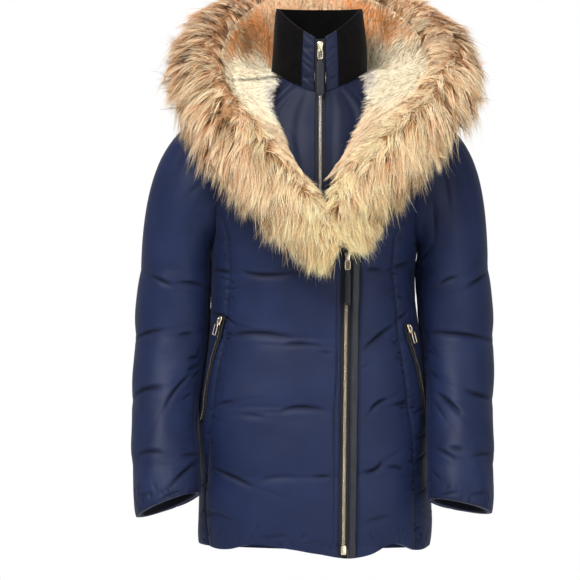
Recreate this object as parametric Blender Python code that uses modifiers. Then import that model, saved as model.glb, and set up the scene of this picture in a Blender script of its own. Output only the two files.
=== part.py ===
"""Fur trimmed parka in its worn form, hollow and open at the neck, the hem and both cuffs.

Metres, +Z up. The wearer faces -Y, so the wearer's right side is at -X. The origin is in the middle of the
neck, level with the seam that joins the hood to the coat, where the wearer's shoulders carry the coat.
"""

from math import pi, radians

import bmesh
import bpy
import numpy as np
from mathutils import Matrix, Vector

NAME = "fur_trimmed_parka"

# Driving dimensions
WALL = 0.008  # down-filled cloth at its fullest
THIN = 0.003  # unfilled cloth: bib, collar and facings
SEAM = 0.0004  # between neighbouring pieces
QUILT_PITCH = 0.112  # from one inner baffle to the next
QUILT_DEPTH = 0.0035  # how far a baffle draws the outer cloth in
QUILT_TOP = -0.299  # height of the baffle nearest to the chest
HEM = -0.755
ARM_TOP, ARM_BOTTOM, ARM_REACH = -0.045, -0.269, 0.080  # armhole: shoulder point, armpit and half its depth
ARM_STEPS = 12  # rows from the armpit to the shoulder point
ZIP_TOP = -0.287  # where the outer zip is closed up to
STRIP_RISE = 0.035  # how far the leather strip runs on above the slider
BIB_ZIP_X, BIB_ZIP_HALF = 0.0068, 0.0085
BIB_OFFSET = -0.011  # the bib lies this far inside the coat's surface
BIB_BOTTOM = -0.315
COLLAR_FRONT, COLLAR_SIDE = 0.069, 0.118  # height of the stand collar's top edge
COLLAR_X = 0.006
COLLAR_LOW, COLLAR_HIGH = (0.0770, 0.0790, 0.0760), (0.0700, 0.0740, 0.0700)  # half width, front, back
PLACKET_WIDTH = 0.021
PULL_LEAN = 0.09  # the bib's pull rests against its slope
POINT = 0.012  # radians left at the tip of a side panel, where its princess seam meets the armhole

# Coat rings: height, half width, front depth, back depth, squareness, shift to the wearer's left
COAT = np.array([
    (-0.780, 0.190, 0.150, 0.136, 2.40, -0.002),
    (-0.672, 0.187, 0.150, 0.137, 2.40, -0.002),
    (-0.560, 0.1850, 0.144, 0.133, 2.40, -0.0055),
    (-0.517, 0.1837, 0.139, 0.129, 2.40, -0.0057),
    (-0.480, 0.1790, 0.134, 0.124, 2.40, -0.003),
    (-0.410, 0.1692, 0.126, 0.113, 2.35, -0.0015),
    (-0.322, 0.163, 0.124, 0.101, 2.30, -0.0045),
    (-0.262, 0.165, 0.132, 0.105, 2.30, -0.002),
    (-0.200, 0.181, 0.137, 0.112, 2.35, 0.000),
    (-0.150, 0.187, 0.133, 0.118, 2.40, 0.001),
    (-0.090, 0.185, 0.119, 0.116, 2.40, 0.003),
    (-0.045, 0.178, 0.100, 0.105, 2.30, 0.004),
    (-0.020, 0.136, 0.091, 0.094, 2.20, 0.006),
    (0.000, 0.096, 0.084, 0.086, 2.10, 0.006),
    (0.020, 0.087, 0.081, 0.082, 2.05, 0.006),
    (0.040, 0.084, 0.080, 0.080, 2.00, 0.006),
])

# Hem: angle round the coat from centre front in degrees, drop below HEM
HEM_DROP = np.array([
    (-180, 0.004), (-120, -0.004), (-75, -0.012), (-45, -0.004), (-28, -0.012), (-8, -0.004), (14, 0.010),
    (24, 0.004), (36, -0.012), (58, -0.002), (80, -0.008), (120, -0.002), (180, 0.004),
])

# Edge lines of the front, as height, then x: right front, leather strip's two edges
FRONT_EDGES = np.array([
    (-0.780, 0.0360, 0.0510, 0.0640),
    (-0.400, 0.0400, 0.0560, 0.0695),
    (-0.287, 0.0425, 0.0590, 0.0725),
    (-0.240, 0.0240, 0.0560, 0.0700),
    (-0.200, 0.0020, 0.0300, 0.0440),
    (-0.166, -0.0220, 0.0090, 0.0230),
    (-0.136, -0.0440, 0.0280, 0.0420),
    (-0.110, -0.0580, 0.0430, 0.0570),
    (-0.078, -0.0690, 0.0580, 0.0720),
    (-0.030, -0.0725, 0.0700, 0.0840),
    (0.040, -0.0740, 0.0760, 0.0900),
])

# Princess seams, as height, then x: right front, left front, and half the back's middle panel
PRINCESS = np.array([
    (-0.780, -0.1740, 0.1620, 0.0950),
    (-0.650, -0.1770, 0.1600, 0.0950),
    (-0.560, -0.1720, 0.1540, 0.0920),
    (-0.470, -0.1590, 0.1430, 0.0850),
    (-0.400, -0.1450, 0.1330, 0.0780),
    (-0.320, -0.1400, 0.1250, 0.0760),
    (-0.250, -0.1420, 0.1260, 0.0900),
    (-0.213, -0.1530, 0.1480, 0.1180),
])

# Sleeves, wearer's right then left: height, centre x outwards, centre y, half width, half depth
SLEEVES = {
    "right": np.array([
        (-0.304, 0.2255, 0.000, 0.0575, 0.069),
        (-0.352, 0.2290, 0.000, 0.0590, 0.069),
        (-0.405, 0.2315, -0.004, 0.0595, 0.068),
        (-0.456, 0.2350, -0.016, 0.0570, 0.067),
        (-0.517, 0.2420, -0.044, 0.0530, 0.065),
        (-0.560, 0.2430, -0.064, 0.0520, 0.064),
        (-0.603, 0.2405, -0.084, 0.0540, 0.063),
        (-0.650, 0.2380, -0.102, 0.0540, 0.060),
        (-0.700, 0.2370, -0.118, 0.0520, 0.056),
    ]),
    "left": np.array([
        (-0.304, 0.2200, 0.000, 0.0590, 0.069),
        (-0.352, 0.2230, 0.000, 0.0600, 0.069),
        (-0.419, 0.2278, -0.006, 0.0582, 0.068),
        (-0.480, 0.2305, -0.026, 0.0540, 0.066),
        (-0.536, 0.2310, -0.052, 0.0530, 0.064),
        (-0.597, 0.2310, -0.082, 0.0530, 0.063),
        (-0.650, 0.2310, -0.102, 0.0530, 0.060),
        (-0.700, 0.2300, -0.118, 0.0520, 0.056),
    ]),
}
SIDES = {"right": -1, "left": 1}
CUFF = {"right": (-0.680, -0.018, 0.010), "left": (-0.682, -0.010, 0.009)}  # height, tilt outwards, tilt forwards
SLEEVE_ROWS = 15
SLEEVE_PITCH = 0.104  # from one of the sleeve's baffles to the next
CAP_ROWS = 6
CAP_FULLNESS = 1.10  # how far the sleeve's head bulges before it turns down
FACING_DEPTH = 0.040

# Fur trim, from its lower end to centre back: x, y, z, half breadth, half thickness
FUR = {
    "right": np.array([
        (0.0260, -0.1860, -0.3000, 0.0140, 0.0140),
        (0.0120, -0.1860, -0.2720, 0.0380, 0.0260),
        (-0.0220, -0.1830, -0.2300, 0.0520, 0.0320),
        (-0.0680, -0.1780, -0.1800, 0.0580, 0.0340),
        (-0.1130, -0.1650, -0.1300, 0.0600, 0.0350),
        (-0.1550, -0.1390, -0.0800, 0.0570, 0.0370),
        (-0.1870, -0.0920, -0.0220, 0.0530, 0.0420),
        (-0.1970, -0.0250, 0.0300, 0.0510, 0.0450),
        (-0.1800, 0.0500, 0.0760, 0.0500, 0.0440),
        (-0.1300, 0.1150, 0.1120, 0.0490, 0.0400),
        (-0.0640, 0.1530, 0.1330, 0.0480, 0.0370),
        (0.0080, 0.1650, 0.1380, 0.0480, 0.0360),
    ]),
    "left": np.array([
        (0.0620, -0.1780, -0.2740, 0.0160, 0.0140),
        (0.0570, -0.1790, -0.2500, 0.0380, 0.0240),
        (0.0650, -0.1780, -0.2080, 0.0560, 0.0300),
        (0.1000, -0.1740, -0.1600, 0.0590, 0.0330),
        (0.1450, -0.1600, -0.1080, 0.0580, 0.0350),
        (0.1920, -0.1310, -0.0560, 0.0540, 0.0380),
        (0.2220, -0.0810, -0.0080, 0.0510, 0.0430),
        (0.2240, -0.0150, 0.0360, 0.0500, 0.0450),
        (0.1960, 0.0580, 0.0780, 0.0490, 0.0430),
        (0.1430, 0.1180, 0.1120, 0.0490, 0.0400),
        (0.0780, 0.1540, 0.1320, 0.0480, 0.0370),
        (0.0088, 0.1650, 0.1380, 0.0480, 0.0360),
    ]),
}
# Where the two strands of fur lie against each other at the front, as height, then x
PARTING = np.array([(-0.330, 0.0560), (-0.275, 0.0440), (-0.248, 0.0300), (-0.190, 0.0020), (-0.150, 0.0020)])
FUR_MEETING = 0.0085  # x at which the strands meet behind the neck
FUR_SIDES, FUR_ROWS = 14, 24

# Hood, from the shoulder to centre back: place along the fur trim, angle of its neck seam from centre front
# in degrees, height of the neck seam, sag of the lining, drop and outward swell of the shell
HOOD = np.array([
    (0.250, 5.0, -0.1600, 0.000, 0.000, 0.000),
    (0.330, 11.5, -0.1250, 0.000, 0.000, 0.000),
    (0.420, 17.5, -0.0850, 0.000, 0.000, 0.000),
    (0.500, 25.0, -0.0450, 0.000, 0.000, 0.000),
    (0.570, 45.0, -0.0040, 0.004, 0.000, 0.000),
    (0.640, 86.0, 0.0105, 0.010, 0.000, 0.000),
    (0.730, 112.0, 0.0105, 0.030, 0.040, 0.020),
    (0.820, 135.0, 0.0105, 0.055, 0.090, 0.030),
    (0.910, 158.0, 0.0105, 0.072, 0.118, 0.034),
    (1.000, 180.0, 0.0105, 0.080, 0.125, 0.036),
])
LINING_COLUMNS, SHELL_COLUMNS, LINING_ROWS, SHELL_ROWS = 18, 11, 7, 11
SHELL_START = 0.56  # the shell begins at the shoulder, this far through the rows above
HOOD_WALL = 0.004
HOOD_SEAMS = 0.0055  # the shell's neck seam lies this far below the lining's
POUCH_SHARE = 0.4  # share of the shell's rows that hangs down the back
POUCH_GAP, POUCH_ROUND = 0.0040, 0.0150  # the shell's distance from the back: at its seam, and more at its lowest

# Pocket zips: height, then x outwards on each side
POCKETS = {
    "right": np.array([(-0.378, 0.1470), (-0.400, 0.1520), (-0.450, 0.1650), (-0.500, 0.1750), (-0.545, 0.1810)]),
    "left": np.array([(-0.391, 0.1430), (-0.420, 0.1500), (-0.460, 0.1610), (-0.500, 0.1690), (-0.545, 0.1745)]),
}
POCKET_HALF = 0.006
POCKET_LIFT, POCKET_TAPE = 0.0022, 0.0014  # the tape's clearance over the panel, and its thickness

# Colour, roughness and metallic value of each material
MATERIALS = {
    "navy_nylon": ((0.024, 0.035, 0.102), 0.48, 0.0),
    "black_velvet": ((0.004, 0.004, 0.004), 0.95, 0.0),
    "black_leather": ((0.020, 0.020, 0.024), 0.42, 0.0),
    "zip_tape": ((0.010, 0.010, 0.013), 0.80, 0.0),
    "cuff_lining": ((0.012, 0.013, 0.020), 0.70, 0.0),
    "long_fur": ((0.520, 0.310, 0.160), 0.80, 0.0),
    "short_fur": ((0.780, 0.640, 0.460), 0.85, 0.0),
    "pale_gold": ((0.640, 0.500, 0.300), 0.28, 1.0),
}


# ---- Curves and surfaces -------------------------------------------------------------------------------------

def smooth(at, knots, values):
    """Cubic curve through a table's rows: Hermite pieces whose slopes are those of the neighbouring rows."""
    at = np.clip(np.asarray(at, float), knots[0], knots[-1])
    slopes = np.gradient(values, knots, axis=0)
    i = np.clip(np.searchsorted(knots, at) - 1, 0, len(knots) - 2)
    span = knots[i + 1] - knots[i]
    t = (at - knots[i]) / span
    if values.ndim > 1:
        t, span = t[..., None], span[..., None]
    return (
        (2 * t**3 - 3 * t**2 + 1) * values[i]
        + (t**3 - 2 * t**2 + t) * span * slopes[i]
        + (3 * t**2 - 2 * t**3) * values[i + 1]
        + (t**3 - t**2) * span * slopes[i + 1]
    )


def signed_power(value, power):
    return np.sign(value) * np.abs(value) ** power


def ring_point(z, angle):
    """A point of the coat's plain surface: angle 0 is centre front, a quarter turn is the wearer's left."""
    half, front, back, square, shift = np.moveaxis(smooth(z, COAT[:, 0], COAT[:, 1:]), -1, 0)
    across = signed_power(np.sin(angle), 2 / square)
    ahead = signed_power(np.cos(angle), 2 / square)
    depth = np.where(np.cos(angle) > 0, front, back)
    return np.stack([shift + half * across, -depth * ahead, z + 0 * angle], -1)


def unit(vectors):
    return vectors / np.linalg.norm(vectors, axis=-1, keepdims=True)


def coat(z, angle, out=0.0):
    """Points a given distance outside the coat's plain surface, along its normals."""
    z, angle = np.broadcast_arrays(np.asarray(z, float), np.asarray(angle, float))
    step = 1e-3
    around = ring_point(z, angle + step) - ring_point(z, angle - step)
    upward = ring_point(z + step, angle) - ring_point(z - step, angle)
    return ring_point(z, angle) + unit(np.cross(around, upward)) * np.asarray(out)[..., None]


def quilt(z):
    """How far the baffles draw the outer cloth in: most at each baffle, nothing midway between them."""
    phase = np.abs(np.sin(pi * (z - QUILT_TOP) / QUILT_PITCH))
    return -QUILT_DEPTH * (1 - phase) ** 2


def angle_at(z, x):
    """The angle on the front half at which the coat's ring at a height has a given x."""
    half, _, _, square, shift = np.moveaxis(smooth(z, COAT[:, 0], COAT[:, 1:]), -1, 0)
    ratio = np.clip((x - shift) / half, -0.995, 0.995)
    return np.arcsin(signed_power(ratio, square / 2))


def hem_shift(angle):
    """The hem's rise or fall round the coat."""
    turn = np.degrees((angle + pi) % (2 * pi) - pi)
    return -smooth(turn, HEM_DROP[:, 0], HEM_DROP[:, 1])


def heights():
    """The rows that all the coat's panels share: quarters of each quilt channel, then the armhole's steps."""
    low = QUILT_TOP - QUILT_PITCH * np.array([4.0, 3.8, 3.45, 3.2, 3.0, 2.8, 2.5, 2.2, 2.0, 1.8, 1.5, 1.2, 1.0, 0.8,
                                              0.5, 0.2, 0.0])
    low[0] = HEM
    arm = armhole_heights()
    return np.concatenate([low, [ZIP_TOP], arm, [-0.0325, -0.021, -0.010, -0.001]])


def armhole_heights():
    turn = np.linspace(pi, 0, ARM_STEPS + 1)
    middle, half = (ARM_TOP + ARM_BOTTOM) / 2, (ARM_TOP - ARM_BOTTOM) / 2
    return middle + half * np.cos(turn)


def armhole_angle(z, back=False):
    """The armhole's edge: an ellipse in side view, given as an angle from centre front."""
    middle, half = (ARM_TOP + ARM_BOTTOM) / 2, (ARM_TOP - ARM_BOTTOM) / 2
    reach = ARM_REACH * np.sqrt(np.clip(1 - ((z - middle) / half) ** 2, 0, 1))
    _, front, rear, square, _ = np.moveaxis(smooth(z, COAT[:, 0], COAT[:, 1:]), -1, 0)
    turn = np.arccos(np.clip(reach / (rear if back else front), 0, 1) ** (square / 2))
    return pi - turn if back else turn


# ---- Meshes --------------------------------------------------------------------------------------------------

def add_object(name, mesh, material):
    """Links a mesh under the part's collection, its faces turned outwards and its material set."""
    made = bpy.data.objects.new(name, mesh)
    bpy.data.collections[NAME].objects.link(made)
    mesh.materials.append(bpy.data.materials[material])
    return made


BACKWARDS = [0, 3, 2, 1]  # turns a quad round and keeps its diagonal, so that neighbours match across a seam


def wall(name, outer, inner, material, tube=False, crossed=()):
    """A closed wall between two grids of points, rows by columns. A tube's last column joins its first.
    The first rim's crossed quads are split the other way, to match a neighbour whose rows run against it."""
    rows, columns = outer.shape[:2]
    index = np.arange(rows * columns).reshape(rows, columns)
    if tube:
        index = np.hstack([index, index[:, :1]])
    far = index + rows * columns
    sheet = [index[:-1, :-1], index[:-1, 1:], index[1:, 1:], index[1:, :-1]]
    faces = [np.stack(sheet, -1).reshape(-1, 4)]
    faces.append((faces[0] + rows * columns)[:, BACKWARDS])
    rims = [(index[0], far[0], True), (index[-1], far[-1], False)]
    if not tube:
        rims += [(index[:, 0], far[:, 0], False), (index[:, -1], far[:, -1], True)]
    for near_edge, far_edge, turn in rims:
        quads = np.stack([near_edge[:-1], far_edge[:-1], far_edge[1:], near_edge[1:]], -1)
        if len(crossed) and near_edge is rims[0][0]:
            quads[crossed] = np.roll(quads[crossed], 1, axis=1)
        faces.append(quads if turn else quads[:, BACKWARDS])
    mesh = bpy.data.meshes.new(name)
    points = np.concatenate([outer.reshape(-1, 3), inner.reshape(-1, 3)])
    mesh.from_pydata(points.tolist(), [], np.concatenate(faces).tolist())
    face_outwards(mesh)
    mesh.shade_smooth()
    mesh.set_sharp_from_angle(angle=radians(50))
    return add_object(name, mesh, material)


def face_outwards(mesh):
    """Turns all faces round when the closed mesh's volume comes out negative."""
    shape = bmesh.new()
    shape.from_mesh(mesh)
    if shape.calc_volume(signed=True) < 0:
        bmesh.ops.reverse_faces(shape, faces=shape.faces)
    shape.to_mesh(mesh)
    shape.free()


def half_gap(z, angle, sign, length=SEAM / 2):
    """The angle that spans a length along the coat's ring, half a seam's gap unless stated, found by halving."""
    low, high = 0 * angle, 0 * angle + 0.01 + length / 0.05
    for _ in range(24):
        middle = (low + high) / 2
        wide = np.linalg.norm(ring_point(z, angle + sign * middle) - ring_point(z, angle), axis=-1) > length
        low, high = np.where(wide, low, middle), np.where(wide, middle, high)
    return high


def coat_panel(name, rows, first, last, columns, material="navy_nylon", out=0.0, thick=WALL, quilted=True,
               ridge=None):
    """A wall on the coat's surface between two edge angles for each row, less half a seam's gap each side."""
    share = np.linspace(0, 1, columns) if ridge is None else np.asarray(ridge)[:, 0]
    low = (first + half_gap(rows, first, 1))[:, None]
    high = (last - half_gap(rows, last, -1))[:, None]
    angle = low + (high - low) * share[None, :]
    z = rows[:, None] + hem_shift(angle) * np.clip((HEM + 0.16 - rows[:, None]) / 0.16, 0, 1) ** 2
    raised = np.zeros(columns) if ridge is None else np.asarray(ridge)[:, 1]
    outer = coat(z, angle, out + raised[None, :] + (quilt(z) if quilted else 0 * z))
    return wall(name, outer, coat(z, angle, out - thick + 0 * z), material)


# ---- The coat ------------------------------------------------------------------------------------------------

def edge(table, rows, column):
    return np.interp(rows, table[:, 0], table[:, column])


def front_limits(rows, side):
    """Edge angles of a front panel, counted outwards: the front edge, then the princess seam and armhole."""
    sign = SIDES[side]
    x_edge = edge(FRONT_EDGES, rows, 1 if side == "right" else 3)
    near = sign * angle_at(rows, x_edge)
    seam = sign * angle_at(rows, edge(PRINCESS, rows, 1 if side == "right" else 2))
    last = PRINCESS[-1, 0]
    far = np.where(rows < last - 1e-3, seam, armhole_angle(rows) - POINT)
    far = np.where(rows > last + 1e-3, armhole_angle(rows), far)
    far = np.where(rows > ARM_TOP + 1e-6, pi / 2, far)
    return near, far


def ordered(sign, near, far):
    """Two outward angles as the lower and the higher angle round the coat."""
    return (near, far) if sign > 0 else (-far, -near)


def make_fronts():
    rows = heights()
    for side, sign in SIDES.items():
        near, far = front_limits(rows, side)
        coat_panel(f"front_{side}", rows, *ordered(sign, near, far), 8 if side == "right" else 6)
        low = rows[rows <= PRINCESS[-1, 0] + 1e-6]
        seam = far[: len(low)]
        outer = np.where(low <= ARM_BOTTOM + 1e-6, pi / 2, armhole_angle(low))
        coat_panel(f"front_side_{side}", low, *ordered(sign, seam, outer), 4)


def make_back():
    rows = heights()
    half = pi - angle_at(rows, edge(PRINCESS, rows, 3))
    half = np.where(rows < PRINCESS[-1, 0] - 1e-3, half, armhole_angle(rows, back=True) + POINT)
    far = np.where(rows <= PRINCESS[-1, 0] + 1e-3, half, armhole_angle(rows, back=True))
    far = np.where(rows > ARM_TOP + 1e-6, pi / 2, far)
    coat_panel("back_centre", rows, far, 2 * pi - far, 11)
    low = rows[rows <= PRINCESS[-1, 0] + 1e-6]
    seam = half[: len(low)]
    outer = np.where(low <= ARM_BOTTOM + 1e-6, pi / 2, armhole_angle(low, back=True))
    for side, sign in SIDES.items():
        coat_panel(f"back_side_{side}", low, *ordered(sign, outer, seam), 5)


# ---- The outer zip -------------------------------------------------------------------------------------------

CHAIN_RISE = 0.0016  # how far the closed teeth stand out of their tape
TAPE_SINK, TAPE = 0.0035, 0.0025  # the zip's tape: depth below the coat's surface, and thickness
STRIP_SINK, STRIP = 0.0005, 0.005  # the same for the leather strip
CHAIN = [(0.0, 0.0), (0.30, 0.0), (0.34, CHAIN_RISE), (0.66, CHAIN_RISE), (0.70, 0.0), (1.0, 0.0)]  # share, rise


def make_front_zip():
    """Zip tape with its chain as a low ridge, between the right front's fold and the leather strip."""
    rows = heights()
    closed = rows[rows <= ZIP_TOP]
    first = angle_at(closed, edge(FRONT_EDGES, closed, 1))
    last = angle_at(closed, edge(FRONT_EDGES, closed, 2))
    coat_panel("front_zip", closed, first, last, len(CHAIN), "zip_tape", -TAPE_SINK, TAPE, False, CHAIN)
    strip = rows[rows < ZIP_TOP + STRIP_RISE]
    first = angle_at(strip, edge(FRONT_EDGES, strip, 2))
    last = angle_at(strip, edge(FRONT_EDGES, strip, 3))
    coat_panel("zip_strip", strip, first, last, 3, "black_leather", -STRIP_SINK, STRIP, False)


def surface_frame(z, x, out=0.0):
    """Place and axes on the coat's front: across, up along the surface, and outwards."""
    angle = angle_at(z, x)
    place = coat(z, angle, out)
    above, beside = coat(z + 0.004, angle_at(z + 0.004, x), out), coat(z, angle + 0.01, out)
    return frame_axes(place, above - place, beside - place)


def frame_axes(place, upward, across):
    """A matrix whose Z runs up, X across and -Y outwards."""
    up = Vector(upward).normalized()
    ahead = up.cross(Vector(across)).normalized()
    right = ahead.cross(up).normalized()
    turn = Matrix((right, ahead, up)).transposed().to_4x4()
    return Matrix.Translation(Vector(place)) @ turn


def block(name, size, material, matrix, bevel=0.0006):
    """A bevelled block whose back face is on its frame's surface, centred across and up."""
    mesh = bpy.data.meshes.new(name)
    shape = bmesh.new()
    bmesh.ops.create_cube(shape, size=1.0)
    bmesh.ops.scale(shape, vec=Vector(size), verts=shape.verts)
    bmesh.ops.translate(shape, vec=Vector((0, -size[1] / 2, 0)), verts=shape.verts)
    shape.to_mesh(mesh)
    shape.free()
    made = add_object(name, mesh, material)
    made.matrix_world = matrix
    soften = made.modifiers.new("edges", "BEVEL")
    soften.width = bevel
    soften.segments = 1
    return made


SLIDER = (0.0100, 0.0045, 0.0150)  # width, depth, height
FRONT_TAB, BIB_TAB = (0.009, 0.058, 0.0024), (0.012, 0.060, 0.0028)  # width, length, thickness
RING_WIRE, RING_WIDTH = 0.0009, 0.0075
POCKET_RING, TAB_RING = 0.018, 0.014  # length of a pocket's bare ring, and of a ring that carries a tab
HINGE_RISE = 0.001  # the ring's bar stands this far above the slider's lower edge


def pull_ring(name, matrix, width, length):
    """A long wire ring: a closed curve with round ends, its top bar on the frame's origin."""
    curve = bpy.data.curves.new(name, "CURVE")
    curve.dimensions = "3D"
    curve.bevel_depth = RING_WIRE
    curve.bevel_resolution = 2
    line = curve.splines.new("POLY")
    half, corner = width / 2, width * 0.3
    turn = np.linspace(0, pi / 2, 4)
    sides = [(half - corner, 0 - corner, 1, 1), (-half + corner, 0 - corner, -1, 1),
             (-half + corner, -length + corner, -1, -1), (half - corner, -length + corner, 1, -1)]
    points = []
    for x, z, across, up in sides:
        arc = turn if across * up > 0 else turn[::-1]
        points += [(x + across * corner * np.cos(t), 0, z + up * corner * np.sin(t), 1) for t in arc]
    line.points.add(len(points) - 1)
    for point, place in zip(line.points, points):
        point.co = place
    line.use_cyclic_u = True
    made = bpy.data.objects.new(name, curve)
    bpy.data.collections[NAME].objects.link(made)
    curve.materials.append(bpy.data.materials["pale_gold"])
    made.matrix_world = matrix
    return made


def pull_tab(name, matrix, width, length, thick, material, top=0.0):
    """A flat tab hanging from below its frame's origin, with a rounded lower end and a narrower neck."""
    neck, bend = width * 0.55, width * 0.5
    turn = np.linspace(0, pi, 9)
    low = [(bend * np.cos(t), -length + bend - bend * np.sin(t)) for t in turn]
    outline = [(-neck / 2, -top), (-neck / 2, -top - 0.004), (-width / 2, -top - 0.008)]
    outline += [(x, z) for x, z in low[::-1]] + [(width / 2, -top - 0.008), (neck / 2, -top - 0.004), (neck / 2, -top)]
    curve = bpy.data.curves.new(name + "_outline", "CURVE")
    curve.dimensions = "2D"
    curve.fill_mode = "BOTH"
    curve.extrude = thick / 2
    line = curve.splines.new("POLY")
    line.points.add(len(outline) - 1)
    for point, (x, z) in zip(line.points, outline):
        point.co = (x, z, 0, 1)
    line.use_cyclic_u = True
    curve.materials.append(bpy.data.materials[material])
    made = bpy.data.objects.new(name, curve)
    bpy.data.collections[NAME].objects.link(made)
    made.matrix_world = matrix @ Matrix.Rotation(pi / 2, 4, "X")
    return made


def zip_pull(prefix, frame, out, ring_length, tab=None):
    """A slider on the chain, a wire ring hinged in front of it, and a tab below the ring."""
    block(f"{prefix}_slider", SLIDER, "pale_gold", frame @ Matrix.Translation((0, 0, SLIDER[2] / 2)))
    hinge = bpy.data.objects.new(f"{prefix}_hinge", None)
    bpy.data.collections[NAME].objects.link(hinge)
    hinge.matrix_world = frame @ Matrix.Translation((0, -out, HINGE_RISE))
    moving = [pull_ring(f"{prefix}_ring", hinge.matrix_world.copy(), RING_WIDTH, ring_length)]
    if tab:
        width, length, thick = tab
        moving.append(pull_tab(f"{prefix}_pull", hinge.matrix_world.copy(), width, length + ring_length, thick,
                               "black_leather", ring_length + RING_WIRE + SEAM))
    for piece in moving:
        rest = piece.matrix_world.copy()
        piece.parent = hinge
        piece.matrix_parent_inverse = hinge.matrix_world.inverted()
        piece.matrix_world = rest


def make_front_slider():
    x = float(edge(FRONT_EDGES, np.array([ZIP_TOP]), 1)[0] + edge(FRONT_EDGES, np.array([ZIP_TOP]), 2)[0]) / 2
    frame = surface_frame(ZIP_TOP - 0.003, x, out=-0.0006)
    plumb = frame_axes(frame.translation, (0, 0, 1), (1, 0, 0))
    zip_pull("front", plumb, SLIDER[1] + CHAIN_RISE, TAB_RING, FRONT_TAB)
    stop_z = HEM + 0.003
    x_stop = float(edge(FRONT_EDGES, np.array([stop_z]), 1)[0] + edge(FRONT_EDGES, np.array([stop_z]), 2)[0]) / 2
    block("front_zip_stop", (0.0090, 0.0030, 0.0140), "pale_gold", surface_frame(stop_z, x_stop, out=-0.0012))


# ---- Bib and collar ------------------------------------------------------------------------------------------

def seam_height(x):
    """Height of the seam between bib and collar for a given x: lowest at centre front."""
    return -0.018 + 0.034 * np.clip(np.abs(x - COLLAR_X) / COLLAR_LOW[0], 0, 1) ** 1.5


def collar_points(share, angle, out=0.0):
    """The stand collar: an ellipse at its seam, up to a slightly narrower one at its top edge."""
    ahead = np.cos(angle) > 0
    rings = []
    for half, front, back in (COLLAR_LOW, COLLAR_HIGH):
        rings.append(np.stack([COLLAR_X + half * np.sin(angle), -np.where(ahead, front, back) * np.cos(angle)], -1))
    side = np.where(ahead, np.abs(np.sin(angle)) ** 1.5, 1)
    low = np.where(ahead, seam_height(rings[0][..., 0]), seam_height(1.0)) + SEAM
    high = COLLAR_FRONT + (COLLAR_SIDE - COLLAR_FRONT) * side
    share = np.asarray(share)[..., None]
    plain = rings[0] * (1 - share) + rings[1] * share
    away = unit(plain - np.array([COLLAR_X, 0.0]))
    plain = plain + away * np.asarray(out)[..., None]
    return np.concatenate([plain, low[..., None] * (1 - share) + high[..., None] * share], -1)


def collar_panel(name, first, last, columns, material, thick):
    share, angle = np.meshgrid(np.linspace(0, 1, 6), np.linspace(first, last, columns), indexing="ij")
    belly = 0.0015 * np.sin(pi * share)
    wall(name, collar_points(share, angle, belly), collar_points(share, angle, belly - thick), material)


BIB_CLOSES = 0.89  # share of the bib's height above which it closes in to the collar


def bib_points(share, angle, out=0.0):
    """The bib: rows from its hidden lower edge up to the collar's seam, closing in to the collar's foot."""
    top = seam_height(COLLAR_X)
    for _ in range(6):
        top = seam_height(coat(top, angle, BIB_OFFSET)[..., 0]) - SEAM
    points = coat(BIB_BOTTOM + (top - BIB_BOTTOM) * share, angle, BIB_OFFSET + out)
    wide = (coat(top, angle, BIB_OFFSET)[..., 0] - COLLAR_X) / COLLAR_LOW[0]
    across = wide / (1 + np.abs(wide) ** 3) ** (1 / 3)
    foot = [COLLAR_X + (COLLAR_LOW[0] + out) * across, -(COLLAR_LOW[1] + out) * np.sqrt(1 - across**2),
            seam_height(COLLAR_X + COLLAR_LOW[0] * across) - SEAM + 0 * share]
    close = np.clip((share - BIB_CLOSES) / (1 - BIB_CLOSES), 0, 1)[..., None] ** 2
    return points + (np.stack(foot, -1) - points) * close


def bib_edge(share, x):
    """The angle at which the bib or its zip has a given x, for each row."""
    z = BIB_BOTTOM + (seam_height(x) - BIB_BOTTOM) * share
    return angle_at(z, COLLAR_X + (x - COLLAR_X) * (1 + BIB_OFFSET * -4.0))


BIB_TAPE_SINK, BIB_TAPE_BACK = 0.0008, 0.0026  # the bib zip's front and back, below the bib's surface
BIB_SHARES = 1 - (1 - np.linspace(0, 1, 13)) ** 1.6
BIB_SLIDER_AT = 0.75  # share of the collar's height where the bib zip's slider stands


def make_bib():
    """Two bib panels, each from the zip to under the coat's front edge, then the collar on top of them."""
    for side, sign in SIDES.items():
        near = sign * bib_edge(BIB_SHARES, BIB_ZIP_X + sign * (BIB_ZIP_HALF + SEAM))
        far = radians(34) + radians(44) * BIB_SHARES**3
        span = np.linspace(0, 1, 7)[None, :]
        angle = sign * (near[:, None] * (1 - span) + far[:, None] * span)
        share = BIB_SHARES[:, None] + 0 * angle
        wall(f"bib_{side}", bib_points(share, angle), bib_points(share, angle, -THIN), "navy_nylon")
        near_top = BIB_ZIP_HALF + SEAM
        start = np.arcsin(near_top / COLLAR_HIGH[0])
        split = np.arcsin((near_top + PLACKET_WIDTH) / COLLAR_LOW[0])
        shift = np.arcsin((BIB_ZIP_X - COLLAR_X) / COLLAR_LOW[0])
        placket = sorted([shift + sign * start, shift + sign * split])
        gap = SEAM / COLLAR_HIGH[0]
        velvet = sorted([shift + sign * (split + gap), sign * (pi - gap / 2)])
        collar_panel(f"collar_placket_{side}", *placket, 3, "navy_nylon", THIN)
        collar_panel(f"collar_{side}", *velvet, 13, "black_velvet", THIN)


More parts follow.
